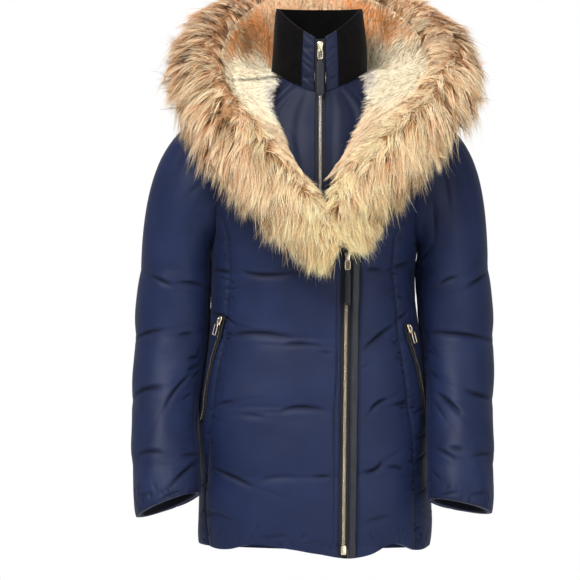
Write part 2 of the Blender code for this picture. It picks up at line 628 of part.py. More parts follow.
def make_bib_zip():
    """One zip through the bib and the collar, its chain a low ridge."""
    chain = np.array(CHAIN)
    x = BIB_ZIP_X + BIB_ZIP_HALF * (2 * chain[:, 0] - 1)
    low = np.stack([bib_edge(BIB_SHARES[:-1], value) for value in x], -1)
    share = BIB_SHARES[:-1, None] + 0 * low
    raised = chain[None, :, 1] + 0 * low
    rise, turn = np.meshgrid(np.linspace(0, 0.97, 6), np.arcsin((x - COLLAR_X) / COLLAR_LOW[0]), indexing="ij")
    lift = chain[None, :, 1] + 0.0015 * np.sin(pi * rise)
    raised, lift = raised - BIB_TAPE_SINK, lift - BIB_TAPE_SINK
    outer = np.vstack([bib_points(share, low, raised), collar_points(rise, turn, lift)])
    back, back_top = np.full_like(share, -BIB_TAPE_BACK), np.full_like(rise, -BIB_TAPE_BACK)
    inner = np.vstack([bib_points(share, low, back), collar_points(rise, turn, back_top)])
    wall("bib_zip", outer, inner, "zip_tape")
    middle = np.array(np.arcsin((BIB_ZIP_X - COLLAR_X) / COLLAR_LOW[0]))
    at = collar_points(np.array(BIB_SLIDER_AT), middle, np.array(0.0032))
    leaning = frame_axes(at, (0, PULL_LEAN, 1), (1, 0, 0))
    zip_pull("bib", leaning, SLIDER[1] + CHAIN_RISE, TAB_RING, BIB_TAB)


# ---- Sleeves -------------------------------------------------------------------------------------------------

def armhole_ring(sign):
    """The armhole's edge from the shoulder point forwards, down to the armpit and up the back."""
    z = armhole_heights()
    down, up = z[::-1], z[1:-1]
    height = np.concatenate([down, up])
    angle = np.concatenate([armhole_angle(down), armhole_angle(up, back=True)])
    return height, sign * angle


def sleeve_ring(table, sign, z, turn, out=0.0):
    """Points of a level sleeve ring: turn 0 is outermost, a quarter turn faces forwards."""
    centre_x, centre_y, half, depth = np.moveaxis(smooth(-z, -table[:, 0], table[:, 1:]), -1, 0)
    return np.stack([sign * (centre_x + (half + out) * np.cos(turn)), centre_y - (depth + out) * np.sin(turn), z], -1)


def make_sleeves():
    """Each sleeve leaves its armhole face to face, curves down over the shoulder and ends in a slanted cuff."""
    for side, sign in SIDES.items():
        table = SLEEVES[side]
        height, angle = armhole_ring(sign)
        turn = np.linspace(0, 2 * pi, len(height) + 1)[:-1]
        middle = coat((ARM_TOP + ARM_BOTTOM) / 2, sign * pi / 2)
        root, root_inner = coat(height, angle, quilt(height)), coat(height, angle, -WALL)
        inwards = unit(middle - root)
        root, root_inner = root + inwards * SEAM, root_inner + inwards * SEAM
        top = table[0, 0]
        first = sleeve_ring(table, sign, top + 0 * turn, turn)
        reach = np.linalg.norm(first - root, axis=-1, keepdims=True)
        leave = unit(np.array([sign * 0.96, 0.0, -0.22]) + 0.45 * (first - root) / reach)
        arrive = np.array([sign * 0.04, 0.0, -1.0])
        t = np.linspace(0, 1, CAP_ROWS + 1)[1:-1, None, None]
        cap = (
            (2 * t**3 - 3 * t**2 + 1) * root
            + (t**3 - 2 * t**2 + t) * leave * reach * CAP_FULLNESS
            + (3 * t**2 - 2 * t**3) * first
            + (t**3 - t**2) * arrive * reach
        )
        cuff_z, tilt_out, tilt_front = CUFF[side]
        share = np.linspace(0, 1, SLEEVE_ROWS)[:, None]
        end = cuff_z + tilt_out * np.cos(turn) + tilt_front * np.sin(turn)
        z = top + (end[None, :] - top) * share
        turns = turn[None, :] + 0 * z
        fold = np.abs(np.sin(pi * (top - z) / SLEEVE_PITCH))
        arm = sleeve_ring(table, sign, z, turns, -QUILT_DEPTH * (1 - fold) ** 2 * np.clip(8 * share, 0, 1))
        outer = np.concatenate([root[None], cap, arm])
        inner = outer - grid_normals(outer, sign) * WALL
        inner[0] = root_inner
        front_seam, back_seam = 10, -7
        for part, columns in (("top", np.arange(back_seam, front_seam + 1)),
                              ("under", np.arange(front_seam, len(turn) + back_seam + 1))):
            sleeve_part(f"sleeve_{side}_{part}", outer, inner, columns)
        make_facing(side, inner, sign)


def grid_normals(points, sign):
    """Outward normals of a tube's grid, from the neighbouring rows and columns."""
    around = np.roll(points, -1, 1) - np.roll(points, 1, 1)
    along = np.gradient(points, axis=0)
    return unit(np.cross(around, along)) * sign


def sleeve_part(name, outer, inner, columns):
    """The sleeve's columns between its two seams, each edge drawn in by half a seam's gap."""
    front, back = outer[:, columns], inner[:, columns]
    for grid in (front, back):
        grid[:, 0] += unit(grid[:, 1] - grid[:, 0]) * SEAM / 2
        grid[:, -1] += unit(grid[:, -2] - grid[:, -1]) * SEAM / 2
    in_front = (columns[:-1] >= 0) & (columns[:-1] < ARM_STEPS)
    wall(name, front, back, "navy_nylon", crossed=np.flatnonzero(in_front))


def make_facing(side, inner, sign):
    """The dark facing that shows inside the cuff."""
    end, above = inner[-1], inner[-3]
    towards = unit(above - end)
    share = np.linspace(0.06, 1, 3)[:, None, None]
    along = end + towards * FACING_DEPTH * share
    centre = along.mean(axis=1, keepdims=True)
    inwards = unit(centre - along)
    wall(f"cuff_facing_{side}", along + inwards * 0.0012, along + inwards * 0.0030, "cuff_lining", tube=True)


# ---- Fur trim and hood ---------------------------------------------------------------------------------------

def fur_frame(table, place):
    """Centre, breadth, thickness and the two directions of the fur's section at places 0 to 1 along it."""
    knots = np.linspace(0, 1, len(table))
    row = smooth(place, knots, table)
    step = 0.004
    ahead = smooth(np.clip(place + step, 0, 1), knots, table)[..., :3]
    behind = smooth(np.clip(place - step, 0, 1), knots, table)[..., :3]
    along = unit(ahead - behind)
    centre = row[..., :3]
    heart = np.stack([0.6 * centre[..., 0], 0.02 + 0 * place, np.minimum(centre[..., 2], -0.10)], -1)
    face = centre - heart
    face = unit(face - along * np.sum(face * along, -1, keepdims=True))
    return centre, row[..., 3], row[..., 4], np.cross(along, face), face


def make_fur(side):
    """The fur as one soft roll: an ellipse carried along the hood's rim and down the front edge."""
    table = FUR[side]
    ends = 0.5 - 0.5 * np.cos(np.linspace(0, pi, FUR_ROWS))
    place = 0.35 * ends + 0.65 * np.linspace(0, 1, FUR_ROWS)
    centre, breadth, thick, across, face = fur_frame(table, place)
    turn = np.linspace(0, 2 * pi, FUR_SIDES + 1)[:-1]
    section = across[:, None] * (breadth[:, None] * np.cos(turn))[..., None]
    section = section + face[:, None] * (thick[:, None] * np.sin(turn))[..., None]
    points = centre[:, None] + section
    limit = FUR_MEETING + SIDES[side] * SEAM
    points[-1, :, 0] = limit
    parting = np.interp(points[..., 2], PARTING[:, 0], PARTING[:, 1])
    low = points[..., 2] < PARTING[-1, 0]
    if side == "right":
        points[..., 0] = np.where(low, np.minimum(points[..., 0], parting - SEAM), points[..., 0])
    else:
        points[..., 0] = np.where(low, np.maximum(points[..., 0], parting + SEAM), points[..., 0])
    solid(f"fur_trim_{side}", points, "long_fur")


def solid(name, rings, material):
    """A closed roll through rings of points, its two ends closed by a fan each."""
    rows, columns = rings.shape[:2]
    index = np.arange(rows * columns).reshape(rows, columns)
    after = np.roll(index, -1, 1)
    faces = np.stack([index[:-1], after[:-1], after[1:], index[1:]], -1).reshape(-1, 4).tolist()
    first, last = rows * columns, rows * columns + 1
    faces += [(first, b, a) for a, b in zip(index[0].tolist(), after[0].tolist())]
    faces += [(last, a, b) for a, b in zip(index[-1].tolist(), after[-1].tolist())]
    points = rings.reshape(-1, 3).tolist() + [rings[0].mean(0).tolist(), rings[-1].mean(0).tolist()]
    mesh = bpy.data.meshes.new(name)
    mesh.from_pydata(points, [], faces)
    face_outwards(mesh)
    mesh.shade_smooth()
    return add_object(name, mesh, material)


def hood_points(side, columns, rows, lining):
    """Either skin of the hood from its neck seam to under the fur: a sagging lining, or a shell that hangs down
    the coat's back and turns up round a soft pouch."""
    t = np.linspace(0 if lining else SHELL_START, 1, columns)
    place, degrees, seam_z, sag, drop, swell = np.moveaxis(smooth(t, np.linspace(0, 1, len(HOOD)), HOOD), -1, 0)
    turn = SIDES[side] * np.radians(degrees)
    centre, breadth, thick, across, face = fur_frame(FUR[side], place)
    inward = across * np.sign(np.sum(across * (centre * np.array([-1, -1, 0])), -1, keepdims=True))
    on_chest = np.clip((90 - degrees) / 30, 0, 1)
    s = np.linspace(0, 1, rows)[:, None, None]
    if lining:
        seam = coat(seam_z, turn, 0.0030 * on_chest - 0.0045 * (1 - on_chest))
        rim = centre + inward * (breadth * 0.80)[:, None] - face * (thick * 0.80)[:, None]
        bow = np.sin(pi * s) * s**0.5
        return seam * (1 - s) + rim * s - np.array([0, 0, 1.0]) * bow * sag[None, :, None]
    rim = centre - inward * (breadth * 0.45)[:, None] - face * (thick * 0.9 + HOOD_WALL + SEAM)[:, None]
    down = np.clip(s[..., 0] / POUCH_SHARE, 0, 1) * pi / 2
    up = np.clip((s - POUCH_SHARE) / (1 - POUCH_SHARE), 0, 1) * pi / 2
    inner = coat(seam_z - HOOD_SEAMS - drop * np.sin(down), turn, POUCH_GAP + POUCH_ROUND * (1 - np.cos(down)))
    rise = np.concatenate([np.sin(up), np.sin(up), 1 - np.cos(up)], -1)
    away = unit(centre * np.array([1, 1, 0]))
    pouch = inner + (rim - inner[-1]) * rise + away * swell[:, None] * np.sin(2 * up)
    straight = inner[0] * (1 - s) + rim * s
    return straight + (pouch - straight) * (drop / drop.max())[None, :, None]


def make_hood():
    """The lining and the shell, each whole across the back, from one side to the other."""
    for name, columns, rows, lining, material in (("hood_lining", LINING_COLUMNS, LINING_ROWS, True, "short_fur"),
                                                  ("hood_shell", SHELL_COLUMNS, SHELL_ROWS, False, "navy_nylon")):
        right, left = (hood_points(side, columns, rows, lining) for side in ("right", "left"))
        middle = (right[:, -1:] + left[:, -1:]) / 2
        grid = np.concatenate([right[:, :-1], middle, left[:, -2::-1]], axis=1)
        normal = unit(np.cross(np.gradient(grid, axis=1), np.gradient(grid, axis=0)))
        side = 1.0 if lining else -1.0
        wall(name, grid, grid + normal * HOOD_WALL * side, material)


# ---- Pockets -------------------------------------------------------------------------------------------------

def make_pockets():
    """A slanted zip on each side panel, made from the panel's own surface moved out, with a metal pull."""
    for side, sign in SIDES.items():
        table = POCKETS[side]
        rows = heights()
        inside = rows[(rows > table[-1, 0]) & (rows < table[0, 0])]
        z = np.unique(np.concatenate([[table[-1, 0]], inside, [table[0, 0]]]))
        x = np.interp(z, table[::-1, 0], table[::-1, 1])
        middle = angle_at(z, sign * x)
        chain = np.array(CHAIN)
        half = half_gap(z, middle, -sign, POCKET_HALF)
        angle = middle[:, None] + half[:, None] * (2 * chain[:, 0] - 1)[None, :]
        height = z[:, None] + 0 * angle
        lift = POCKET_LIFT + quilt(height)
        wall(f"pocket_zip_{side}", coat(height, angle, lift + POCKET_TAPE + chain[None, :, 1]),
             coat(height, angle, lift), "zip_tape")
        top = table[0, 0] - SLIDER[2]
        turn = angle_at(top, sign * np.interp(top, table[::-1, 0], table[::-1, 1]))
        lower = top - POCKET_RING
        turn_low = angle_at(lower, sign * np.interp(lower, table[::-1, 0], table[::-1, 1]))
        lift = POCKET_LIFT + POCKET_TAPE + CHAIN_RISE + SEAM
        place = coat(top, turn, lift)
        frame = frame_axes(place, place - coat(lower, turn_low, lift), coat(top, turn + 0.01, lift) - place)
        zip_pull(f"pocket_{side}", frame, SLIDER[1] + CHAIN_RISE, POCKET_RING)


# ---- Build ---------------------------------------------------------------------------------------------------

def clear_scene():
    for old in list(bpy.data.objects):
        bpy.data.objects.remove(old, do_unlink=True)
    part = bpy.data.collections.new(NAME)
    bpy.context.scene.collection.children.link(part)


def make_materials():
    for name, (colour, roughness, metallic) in MATERIALS.items():
        material = bpy.data.materials.new(name)
        material.use_nodes = True
        shader = material.node_tree.nodes["Principled BSDF"]
        shader.inputs["Base Color"].default_value = (*colour, 1.0)
        shader.inputs["Roughness"].default_value = roughness
        shader.inputs["Metallic"].default_value = metallic


def main():
    clear_scene()
    make_materials()
    make_fronts()
    make_back()
    make_sleeves()
    make_front_zip()
    make_front_slider()
    make_bib()
    make_bib_zip()
    make_pockets()
    for side in SIDES:
        make_fur(side)
    make_hood()


main()
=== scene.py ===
"""Looks of the fur trimmed parka: down-filled cloth, long and short fur, velvet, leather, zips and stitching.

Metres, +Z up. The wearer faces -Y, so the wearer's right side is at -X. Every piece is worked out from the
named sizes and short tables below and rides on a body of the fixed frame.
"""

from math import pi, radians

import bpy
import numpy as np
from bpy.props import FloatProperty, FloatVectorProperty, IntProperty, PointerProperty
from mathutils import Matrix, Vector


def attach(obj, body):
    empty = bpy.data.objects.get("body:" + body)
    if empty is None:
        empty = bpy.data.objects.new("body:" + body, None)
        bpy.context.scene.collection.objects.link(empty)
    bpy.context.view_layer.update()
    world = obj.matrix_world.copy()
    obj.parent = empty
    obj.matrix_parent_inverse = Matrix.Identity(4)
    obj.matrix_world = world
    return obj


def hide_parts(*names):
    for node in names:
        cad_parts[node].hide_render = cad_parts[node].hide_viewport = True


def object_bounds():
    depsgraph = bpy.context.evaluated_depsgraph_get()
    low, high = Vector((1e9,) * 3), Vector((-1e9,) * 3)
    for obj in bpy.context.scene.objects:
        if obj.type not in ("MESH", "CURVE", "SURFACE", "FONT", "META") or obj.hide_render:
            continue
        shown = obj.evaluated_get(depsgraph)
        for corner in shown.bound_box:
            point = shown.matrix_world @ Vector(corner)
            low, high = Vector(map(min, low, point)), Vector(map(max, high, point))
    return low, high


bl_info = {
    "name": "Fur trimmed parka",
    "version": (1, 0, 0),
    "blender": (4, 5, 0),
    "location": "3D View > Sidebar > Parka",
    "description": "Builds the cloth, fur, zips and stitching of a hollow parka as worn",
    "category": "Add Mesh",
}

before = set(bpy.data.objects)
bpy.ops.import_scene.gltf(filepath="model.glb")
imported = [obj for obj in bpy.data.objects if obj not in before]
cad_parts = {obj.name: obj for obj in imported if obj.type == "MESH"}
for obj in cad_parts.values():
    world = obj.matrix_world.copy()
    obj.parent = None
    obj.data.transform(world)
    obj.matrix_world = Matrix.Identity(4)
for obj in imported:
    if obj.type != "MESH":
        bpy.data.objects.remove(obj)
CAD_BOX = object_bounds()

# ---- Sizes of the coat ----

WALL, THIN, SEAM = 0.008, 0.003, 0.0004
QUILT_PITCH, QUILT_DEPTH, QUILT_TOP = 0.112, 0.0035, -0.299
HEM = -0.755
ARM_TOP, ARM_BOTTOM, ARM_REACH = -0.045, -0.269, 0.08
ARM_MIDDLE, ARM_HALF = (ARM_TOP + ARM_BOTTOM) / 2, (ARM_TOP - ARM_BOTTOM) / 2
ZIP_TOP, STRIP_RISE = -0.287, 0.035
BIB_ZIP_X, BIB_ZIP_HALF, BIB_OFFSET, BIB_BOTTOM, BIB_CLOSES = 0.0068, 0.0085, -0.011, -0.315, 0.89
COLLAR_FRONT, COLLAR_SIDE, COLLAR_X = 0.069, 0.118, 0.006
COLLAR_LOW, COLLAR_HIGH = (0.077, 0.079, 0.076), (0.07, 0.074, 0.07)
PLACKET_WIDTH, PULL_LEAN, POINT = 0.021, 0.09, 0.012
SLEEVE_PITCH, CAP_FULLNESS, FACING_DEPTH = 0.104, 1.1, 0.04
SLIDER = (0.01, 0.0045, 0.015)
FRONT_TAB, BIB_TAB = (0.009, 0.058, 0.0024), (0.012, 0.06, 0.0028)
RING_WIRE, RING_WIDTH, POCKET_RING, TAB_RING, HINGE_RISE = 0.0009, 0.0075, 0.018, 0.014, 0.001
CHAIN_RISE = 0.0016
FUR_MEETING = 0.0085
HOOD_WALL, HOOD_SEAMS, SHELL_START = 0.004, 0.0055, 0.56
POUCH_SHARE, POUCH_GAP, POUCH_ROUND = 0.4, 0.004, 0.015
POCKET_HALF, POCKET_LIFT, POCKET_TAPE = 0.006, 0.0022, 0.0014
GIRTH, ARM_GIRTH = 0.165, 0.06  # radius that turns an angle round the coat or a sleeve into a length of cloth
SIDES = {"right": -1, "left": 1}

# Coat rings: height, half width, front depth, back depth, squareness, shift to the wearer's left
COAT = np.array([
    (-0.78, 0.19, 0.15, 0.136, 2.4, -0.002), (-0.672, 0.187, 0.15, 0.137, 2.4, -0.002),
    (-0.56, 0.185, 0.144, 0.133, 2.4, -0.0055), (-0.517, 0.1837, 0.139, 0.129, 2.4, -0.0057),
    (-0.48, 0.179, 0.134, 0.124, 2.4, -0.003), (-0.41, 0.1692, 0.126, 0.113, 2.35, -0.0015),
    (-0.322, 0.163, 0.124, 0.101, 2.3, -0.0045), (-0.262, 0.165, 0.132, 0.105, 2.3, -0.002),
    (-0.2, 0.181, 0.137, 0.112, 2.35, 0), (-0.15, 0.187, 0.133, 0.118, 2.4, 0.001),
    (-0.09, 0.185, 0.119, 0.116, 2.4, 0.003), (-0.045, 0.178, 0.1, 0.105, 2.3, 0.004),
    (-0.02, 0.136, 0.091, 0.094, 2.2, 0.006), (0, 0.096, 0.084, 0.086, 2.1, 0.006),
    (0.02, 0.087, 0.081, 0.082, 2.05, 0.006), (0.04, 0.084, 0.08, 0.08, 2, 0.006),
])
# Hem: angle round the coat from centre front in degrees, drop below HEM
HEM_DROP = np.array([
    (-180, 0.004), (-120, -0.004), (-75, -0.012), (-45, -0.004), (-28, -0.012), (-8, -0.004), (14, 0.01),
    (24, 0.004), (36, -0.012), (58, -0.002), (80, -0.008), (120, -0.002), (180, 0.004),
])
# Edge lines of the front, as height, then x: right front, leather strip's two edges
FRONT_EDGES = np.array([
    (-0.78, 0.036, 0.051, 0.064), (-0.4, 0.04, 0.056, 0.0695), (-0.287, 0.0425, 0.059, 0.0725),
    (-0.24, 0.024, 0.056, 0.07), (-0.2, 0.002, 0.03, 0.044), (-0.166, -0.022, 0.009, 0.023),
    (-0.136, -0.044, 0.028, 0.042), (-0.11, -0.058, 0.043, 0.057), (-0.078, -0.069, 0.058, 0.072),
    (-0.03, -0.0725, 0.07, 0.084), (0.04, -0.074, 0.076, 0.09),
])
# Princess seams, as height, then x: right front, left front, and half the back's middle panel
PRINCESS = np.array([
    (-0.78, -0.174, 0.162, 0.095), (-0.65, -0.177, 0.16, 0.095), (-0.56, -0.172, 0.154, 0.092),
    (-0.47, -0.159, 0.143, 0.085), (-0.4, -0.145, 0.133, 0.078), (-0.32, -0.14, 0.125, 0.076),
    (-0.25, -0.142, 0.126, 0.09), (-0.213, -0.153, 0.148, 0.118),
])
# Sleeves, wearer's right then left: height, centre x outwards, centre y, half width, half depth
SLEEVES = {
    "right": np.array([
        (-0.304, 0.2255, 0, 0.0575, 0.069), (-0.352, 0.229, 0, 0.059, 0.069),
        (-0.405, 0.2315, -0.004, 0.0595, 0.068), (-0.456, 0.235, -0.016, 0.057, 0.067),
        (-0.517, 0.242, -0.044, 0.053, 0.065), (-0.56, 0.243, -0.064, 0.052, 0.064),
        (-0.603, 0.2405, -0.084, 0.054, 0.063), (-0.65, 0.238, -0.102, 0.054, 0.06),
        (-0.7, 0.237, -0.118, 0.052, 0.056),
    ]),
    "left": np.array([
        (-0.304, 0.22, 0, 0.059, 0.069), (-0.352, 0.223, 0, 0.06, 0.069),
        (-0.419, 0.2278, -0.006, 0.0582, 0.068), (-0.48, 0.2305, -0.026, 0.054, 0.066),
        (-0.536, 0.231, -0.052, 0.053, 0.064), (-0.597, 0.231, -0.082, 0.053, 0.063),
        (-0.65, 0.231, -0.102, 0.053, 0.06), (-0.7, 0.23, -0.118, 0.052, 0.056),
    ]),
}
CUFF = {"right": (-0.68, -0.018, 0.01), "left": (-0.682, -0.01, 0.009)}
# Fur trim, from its lower end to centre back: x, y, z, half breadth, half thickness
FUR = {
    "right": np.array([
        (0.026, -0.186, -0.3, 0.014, 0.014), (0.012, -0.186, -0.272, 0.038, 0.026),
        (-0.022, -0.183, -0.23, 0.052, 0.032), (-0.068, -0.178, -0.18, 0.058, 0.034),
        (-0.113, -0.165, -0.13, 0.06, 0.035), (-0.155, -0.139, -0.08, 0.057, 0.037),
        (-0.187, -0.092, -0.022, 0.053, 0.042), (-0.197, -0.025, 0.03, 0.051, 0.045),
        (-0.18, 0.05, 0.076, 0.05, 0.044), (-0.13, 0.115, 0.112, 0.049, 0.04),
        (-0.064, 0.153, 0.133, 0.048, 0.037), (0.008, 0.165, 0.138, 0.048, 0.036),
    ]),
    "left": np.array([
        (0.062, -0.178, -0.274, 0.016, 0.014), (0.057, -0.179, -0.25, 0.038, 0.024),
        (0.065, -0.178, -0.208, 0.056, 0.03), (0.1, -0.174, -0.16, 0.059, 0.033),
        (0.145, -0.16, -0.108, 0.058, 0.035), (0.192, -0.131, -0.056, 0.054, 0.038),
        (0.222, -0.081, -0.008, 0.051, 0.043), (0.224, -0.015, 0.036, 0.05, 0.045),
        (0.196, 0.058, 0.078, 0.049, 0.043), (0.143, 0.118, 0.112, 0.049, 0.04),
        (0.078, 0.154, 0.132, 0.048, 0.037), (0.0088, 0.165, 0.138, 0.048, 0.036),
    ]),
}
# Where the two strands of fur lie against each other at the front, as height, then x
PARTING = np.array([(-0.33, 0.056), (-0.275, 0.044), (-0.248, 0.03), (-0.19, 0.002), (-0.15, 0.002)])
# Hood, from the shoulder to centre back: place along the fur trim, angle of its neck seam from centre front
# in degrees, height of the neck seam, sag of the lining, drop and outward swell of the shell
HOOD = np.array([
    (0.25, 5, -0.16, 0, 0, 0), (0.33, 11.5, -0.125, 0, 0, 0), (0.42, 17.5, -0.085, 0, 0, 0),
    (0.5, 25, -0.045, 0, 0, 0), (0.57, 45, -0.004, 0.004, 0, 0), (0.64, 86, 0.0105, 0.01, 0, 0),
    (0.73, 112, 0.0105, 0.03, 0.04, 0.02), (0.82, 135, 0.0105, 0.055, 0.09, 0.03),
    (0.91, 158, 0.0105, 0.072, 0.118, 0.034), (1, 180, 0.0105, 0.08, 0.125, 0.036),
])
# Pocket zips: height, then x outwards on each side
POCKETS = {
    "right": np.array([(-0.378, 0.147), (-0.4, 0.152), (-0.45, 0.165), (-0.5, 0.175), (-0.545, 0.181)]),
    "left": np.array([(-0.391, 0.143), (-0.42, 0.15), (-0.46, 0.161), (-0.5, 0.169), (-0.545, 0.1745)]),
}

# ---- Creases ----

# Front creases in centimetres: x and z of both ends, bow upwards; then depth and half width in millimetres
FRONT_CREASES = [
    (-16.5, -30.1, -13.4, -30.9, 0, 4, 5), (-12.2, -30.4, -2.6, -30.6, -0.7, 3.4, 6.5),
    (-15.6, -31.6, -12.8, -32.6, 0.2, 1.8, 3.5), (-15, -33.4, -11.8, -33, -0.2, 1.5, 3.5),
    (-16.5, -37.1, -12.5, -39.2, 0.3, 4.4, 5), (-13.6, -41, -3.4, -41.3, 0.7, 3.2, 6.5),
    (-5.3, -42.4, 1, -42.6, 0.3, 2.6, 5), (0.6, -43.4, 2.4, -43.7, 0, 1.8, 4),
    (-16, -52, -13, -51.4, 0.1, 2.6, 5), (-5.8, -53.1, 1.8, -53, 0.8, 3.2, 6),
    (-12.5, -53.6, -8, -54, 0.2, 1.4, 6), (-16.6, -62.1, -9.9, -65.1, 0.3, 4, 6),
    (-1, -63.5, 2.4, -63.4, 0.1, 2.6, 5), (-9, -64.2, -3.2, -63.4, 0.4, 1.5, 6.5),
    (-17.2, -69, -13, -70.6, 0.2, 2.2, 5), (-9.5, -73.4, -4.5, -73, 0.2, 1.4, 5),
    (3.35, -30.5, 2.55, -74.6, 0.1, 2, 2.2), (7.8, -30.4, 11, -30.4, 0.2, 2.8, 5),
    (12.6, -30.1, 15, -29.1, 0.1, 4.4, 5), (7.5, -43.2, 12.6, -39.2, 0.4, 4, 6),
    (7.2, -46.1, 8.2, -45.6, 0, 1.6, 4), (13.1, -38.4, 14.6, -37.1, 0.1, 3.2, 4),
    (8.5, -53.3, 11.8, -51, 0.6, 4, 5), (12.5, -52, 15, -51.7, 0.1, 3, 4.5),
    (7.5, -62.7, 10.7, -61, -0.5, 4.4, 6), (11.5, -61.9, 14.2, -62.4, 0.2, 3, 5),
    (7.6, -71, 12, -69.8, 0.3, 1.6, 5.5), (15.4, -53.6, 17.4, -52, 0, 2.6, 4),
    (15.7, -57.6, 17.9, -56.3, 0, 2.6, 4), (15.9, -61, 17.6, -59.6, 0, 2, 4),
    (16, -66.4, 17.8, -65.2, 0, 2.2, 4),
]
# Creases of the sides and the back: angle from centre front in degrees and z in centimetres of both ends,
# then as above
BACK_CREASES = [
    (96, -29.6, 118, -30.6, 0.3, 3.6, 5.5), (-98, -29.8, -124, -31, 0.2, 3.6, 5.5),
    (134, -30.8, 172, -30.2, 0.6, 3, 7), (-172, -31.4, -136, -30.4, 0.5, 2.8, 7),
    (88, -37, 108, -39.6, 0.3, 3.6, 5), (-90, -36.6, -112, -39.2, 0.3, 3.6, 5),
    (120, -41.6, 160, -40.8, 0.6, 3.2, 6.5), (-166, -42, -118, -41, 0.5, 3.2, 6.5),
    (168, -41.4, -170, -41.2, -0.3, 2, 5.5), (94, -52.4, 112, -51.4, 0.2, 3, 5),
    (-96, -51.8, -116, -52.8, 0.2, 3, 5), (126, -52, 166, -52.8, 0.8, 3.2, 6.5),
    (-158, -53, -124, -52, 0.6, 3, 6.5), (98, -62.8, 120, -63.8, 0.3, 3.4, 5.5),
    (-94, -63.4, -122, -62.2, 0.3, 3.2, 5.5), (136, -63, 178, -63.8, 0.6, 2.8, 7),
    (-170, -64.2, -138, -63.2, 0.4, 2.8, 7), (120, -21.5, 170, -19.2, 0.9, 2.2, 9),
    (-168, -20, -122, -21, 0.9, 2.2, 9),
]
# Sleeve creases in centimetres: x and z of both ends on the sleeve's front, bow; depth and half width in
# millimetres
SLEEVE_CREASES = {
    "right": [
        (-28.8, -41.3, -24.2, -40, 0.3, 3.4, 5.5), (-29.1, -50.7, -24.5, -49.1, 0.5, 4.2, 6),
        (-24.2, -52.5, -20.2, -47.2, 0.5, 3.8, 5.5), (-21.3, -51, -19.8, -50.1, 0, 2.6, 4),
        (-28.6, -60.2, -24.2, -59.7, 0.6, 3.2, 5.5), (-21.8, -60.2, -18.8, -60, 0.2, 3.2, 5),
        (-23.4, -65.1, -19, -61, 0.6, 4.6, 6), (-25, -67.2, -21, -65.6, 0.3, 2.6, 3.5),
        (-20.6, -66.1, -18.8, -65, 0.1, 2.4, 3.5), (-28.2, -66.6, -25.8, -66.2, 0.2, 1.8, 3.5),
        (-26.6, -31.2, -22.9, -33, 0.1, 3.4, 5), (-22.8, -32.6, -17.9, -33.3, 0.5, 3, 5.5),
        (-22.4, -41, -19.4, -40.8, 0.3, 2.6, 5),
    ],
    "left": [
        (19.65, -33, 22.9, -31.5, 0.4, 3.4, 5), (24.3, -33.1, 27.4, -31, 0.2, 4.8, 5.5),
        (19.4, -25.7, 22.2, -22, 0.2, 3.2, 5), (22.9, -25.3, 25.4, -22.2, 0.2, 2.6, 5),
        (16.6, -28, 19, -26.1, 0.1, 2.8, 4.5), (18.2, -40.5, 28.3, -41.9, 0.5, 3.6, 6),
        (23.8, -49.4, 27.8, -50.9, -0.2, 4.2, 6), (19.2, -50.1, 23.4, -53.6, 0.4, 4.6, 6),
        (18.6, -51, 20.8, -54.4, 0.2, 2, 4.5), (19, -58.9, 22.6, -60.8, 0.3, 3, 5),
        (21.1, -58.9, 23.8, -59.2, 0.2, 2.6, 5), (24.4, -60.4, 28, -60, 0.4, 2.4, 5),
        (18.4, -62.2, 20, -64, 0.1, 2.8, 4.5), (24, -66.4, 27.4, -66, 0.2, 2.2, 3.5),
        (19.4, -66.8, 22.8, -66, 0.3, 2.4, 3.5),
    ],
}
# Creases on the hidden side of both sleeves: turn in degrees and z in centimetres of both ends, then as above
SLEEVE_BACK_CREASES = [
    (200, -33.4, 262, -34.2, 0.4, 2.6, 6.5), (214, -40.8, 300, -41.8, 0.6, 3, 6.5),
    (186, -48.6, 250, -51.4, 0.4, 3.6, 6), (262, -50, 330, -51, 0.5, 3.4, 6),
    (196, -55.6, 236, -54.2, 0.3, 2.6, 5), (210, -60.8, 310, -61.4, 0.7, 3, 6),
    (246, -66.2, 320, -66.6, 0.2, 2, 4),
]


# ---- Settings ----

def length(name, text, value):
    return FloatProperty(name=name, description=text, default=value, unit="LENGTH", precision=4)


def share(name, text, value):
    return FloatProperty(name=name, description=text, default=value, min=0.0, soft_max=2.0, subtype="FACTOR")


def colour(name, text, value):
    return FloatVectorProperty(name=name, description=text, default=value, subtype="COLOR", size=3, min=0,
                               max=1)


class ClothSettings(bpy.types.PropertyGroup):
    """Cloth of the parka."""
    nylon: colour("Nylon", "Colour of the outer cloth", (0.0098, 0.0165, 0.053))
    bib: colour("Bib", "Colour of the bib's cloth", (0.0058, 0.0092, 0.03))
    lining: colour("Cuff lining", "Colour inside the cuffs", (0.01, 0.011, 0.018))
    velvet: colour("Velvet", "Colour of the collar", (0.002, 0.0016, 0.0018))
    leather: colour("Leather", "Colour of the strip and tabs", (0.01, 0.012, 0.018))
    tape: colour("Zip tape", "Colour of the zip tapes", (0.01, 0.01, 0.014))
    crease: share("Crease depth", "Depth of the creases against the drafted one", 1.0)
    crumple: share("Crumples", "Depth of the small gathers beside the seams", 1.0)
    puff: length("Puff", "Rise of the down between seams", 0.0015)
    dip: length("Seam dip", "How far the sewing draws the cloth in", 0.002)
    stitch: length("Stitch", "Length of one stitch and its gap", 0.0035)


